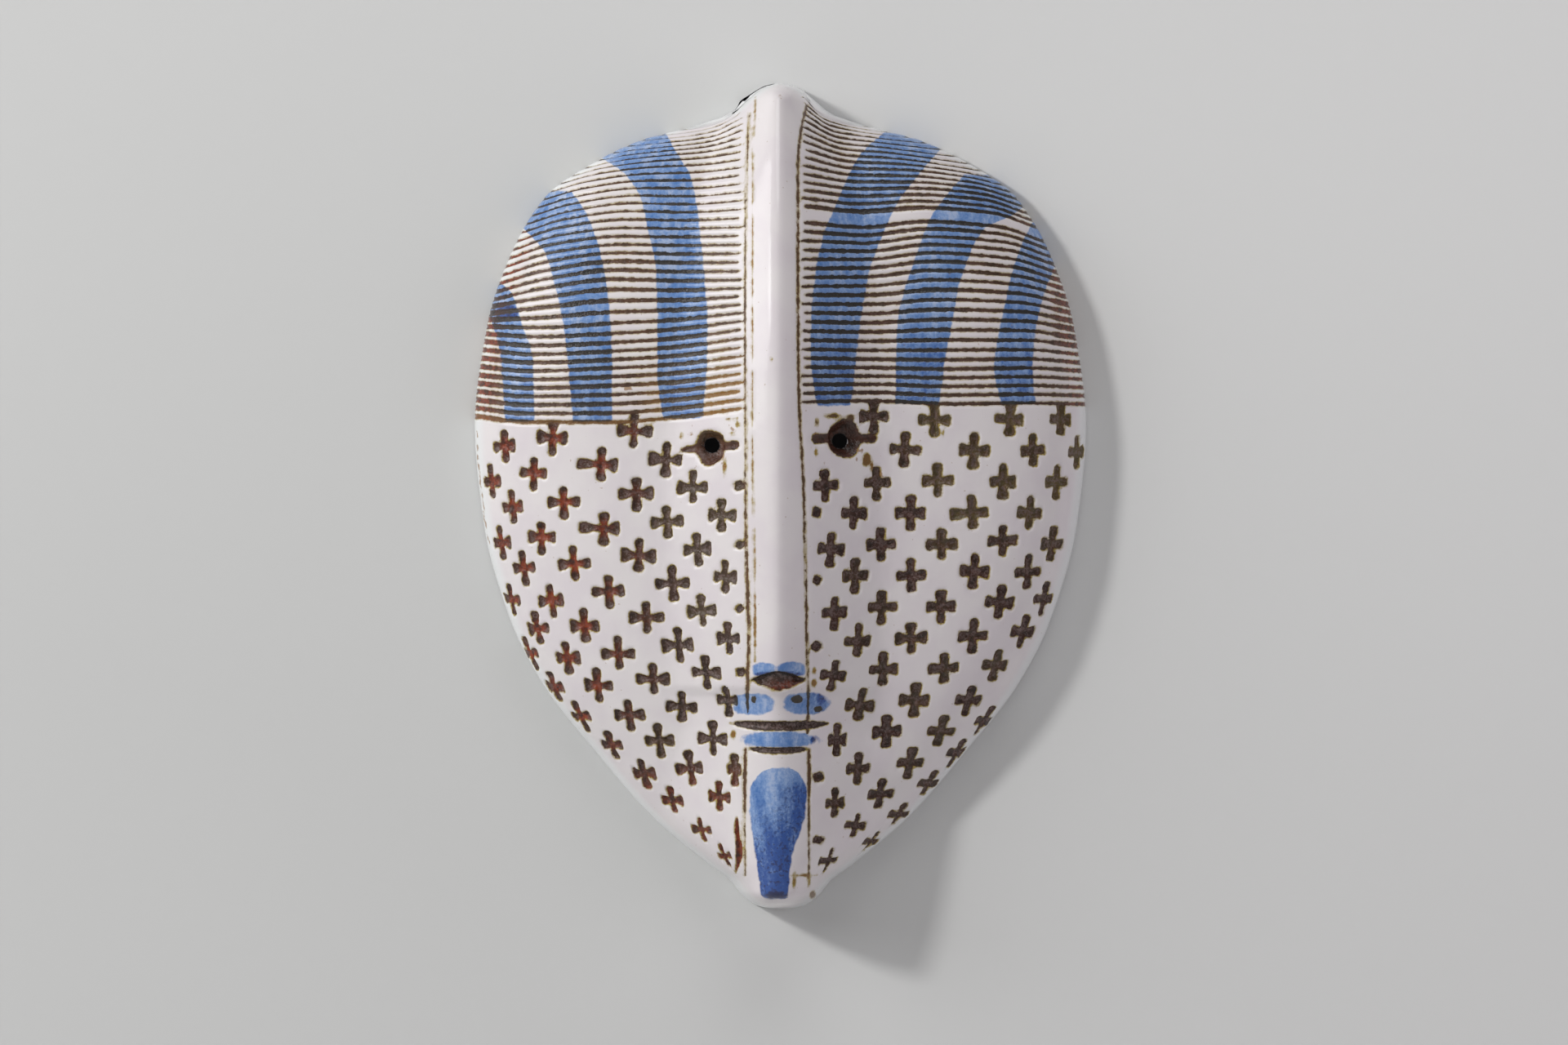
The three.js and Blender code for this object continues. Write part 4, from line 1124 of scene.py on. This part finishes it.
def plainPaint(name, color, isWall):  # the wall is clear from behind
    s = Shader(name)
    where = s.add("ShaderNodeTexCoord").outputs["Object"]
    across, _, height = s.add("ShaderNodeSeparateXYZ", {"Vector": where}).outputs
    shade = room["shade"]
    scale, share = shade["cloud"]
    # painted shade, darker low down and at the left, with a faint cloud
    amount = s.plus(s.ramp(height, *shade["low"], 0), s.ramp(across, *shade["left"], 0),
                    s.times(s.noise(where, scale, 1), share))
    tone = s.mix(amount, color, tuple(shade["tone"] * c for c in color))
    if isWall:
        # painted shadow behind the mask
        tone = paintedShadow(s, across, height, tone)
    inputs = {"Base Color": tone, "Roughness": room["roughness"]}
    paint = s.add("ShaderNodeBsdfPrincipled", inputs).outputs[0]
    if isWall:
        isBack = s.add("ShaderNodeNewGeometry").outputs["Backfacing"]
        clear = s.add("ShaderNodeBsdfTransparent").outputs[0]
        paint = s.add("ShaderNodeMixShader", {0: isBack, 1: paint, 2: clear}).outputs[0]
    s.add("ShaderNodeOutputMaterial", {"Surface": paint})
    return s.material


print("room: wall, floor, light and camera")
half = room["wallHalf"]
wall = stageSheet("backWall", half, math.pi / 2, Vector((0, room["wallGap"], half - room["floorDrop"])),
                  plainPaint("wallPaint", room["wallColor"], True))
wall.visible_shadow = False
stageSheet("floor", half, 0, Vector((0, -half, -room["floorDrop"])),
           plainPaint("floorPaint", room["floorColor"], False))


def areaLight(name, fromWhere, howFar, size, power, color, isMirrored):
    light = bpy.data.lights.new(name, "AREA")
    light.shape = "DISK"
    light.size = size
    light.energy = power
    light.color = color
    towards = Vector(fromWhere).normalized()
    lamp = bpy.data.objects.new(name, light)
    lamp.location = Vector(room["litPoint"]) + towards * howFar
    lamp.rotation_euler = towards.to_track_quat("Z", "Y").to_euler()
    lamp.visible_glossy = isMirrored
    scene.collection.objects.link(lamp)


for spec in room["lights"]:
    areaLight(*spec)

world = bpy.data.worlds.new("studio")
world.use_nodes = True
background = world.node_tree.nodes["Background"].inputs
background["Color"].default_value = (1, 1, 1, 1)
background["Strength"].default_value = room["fill"]
scene.world = world

lens = bpy.data.cameras.new("camera")
lens.lens = room["lens"]
lens.sensor_width = room["sensor"]
lens.clip_end = room["seesTo"]
camera = bpy.data.objects.new("camera", lens)
distance = room["view"] * room["lens"] / room["sensor"]
camera.location = (room["aim"][0], -distance, room["aim"][1])
camera.rotation_euler = (math.pi / 2, 0, 0)
scene.collection.objects.link(camera)
scene.camera = camera
scene.view_settings.view_transform = "Standard"
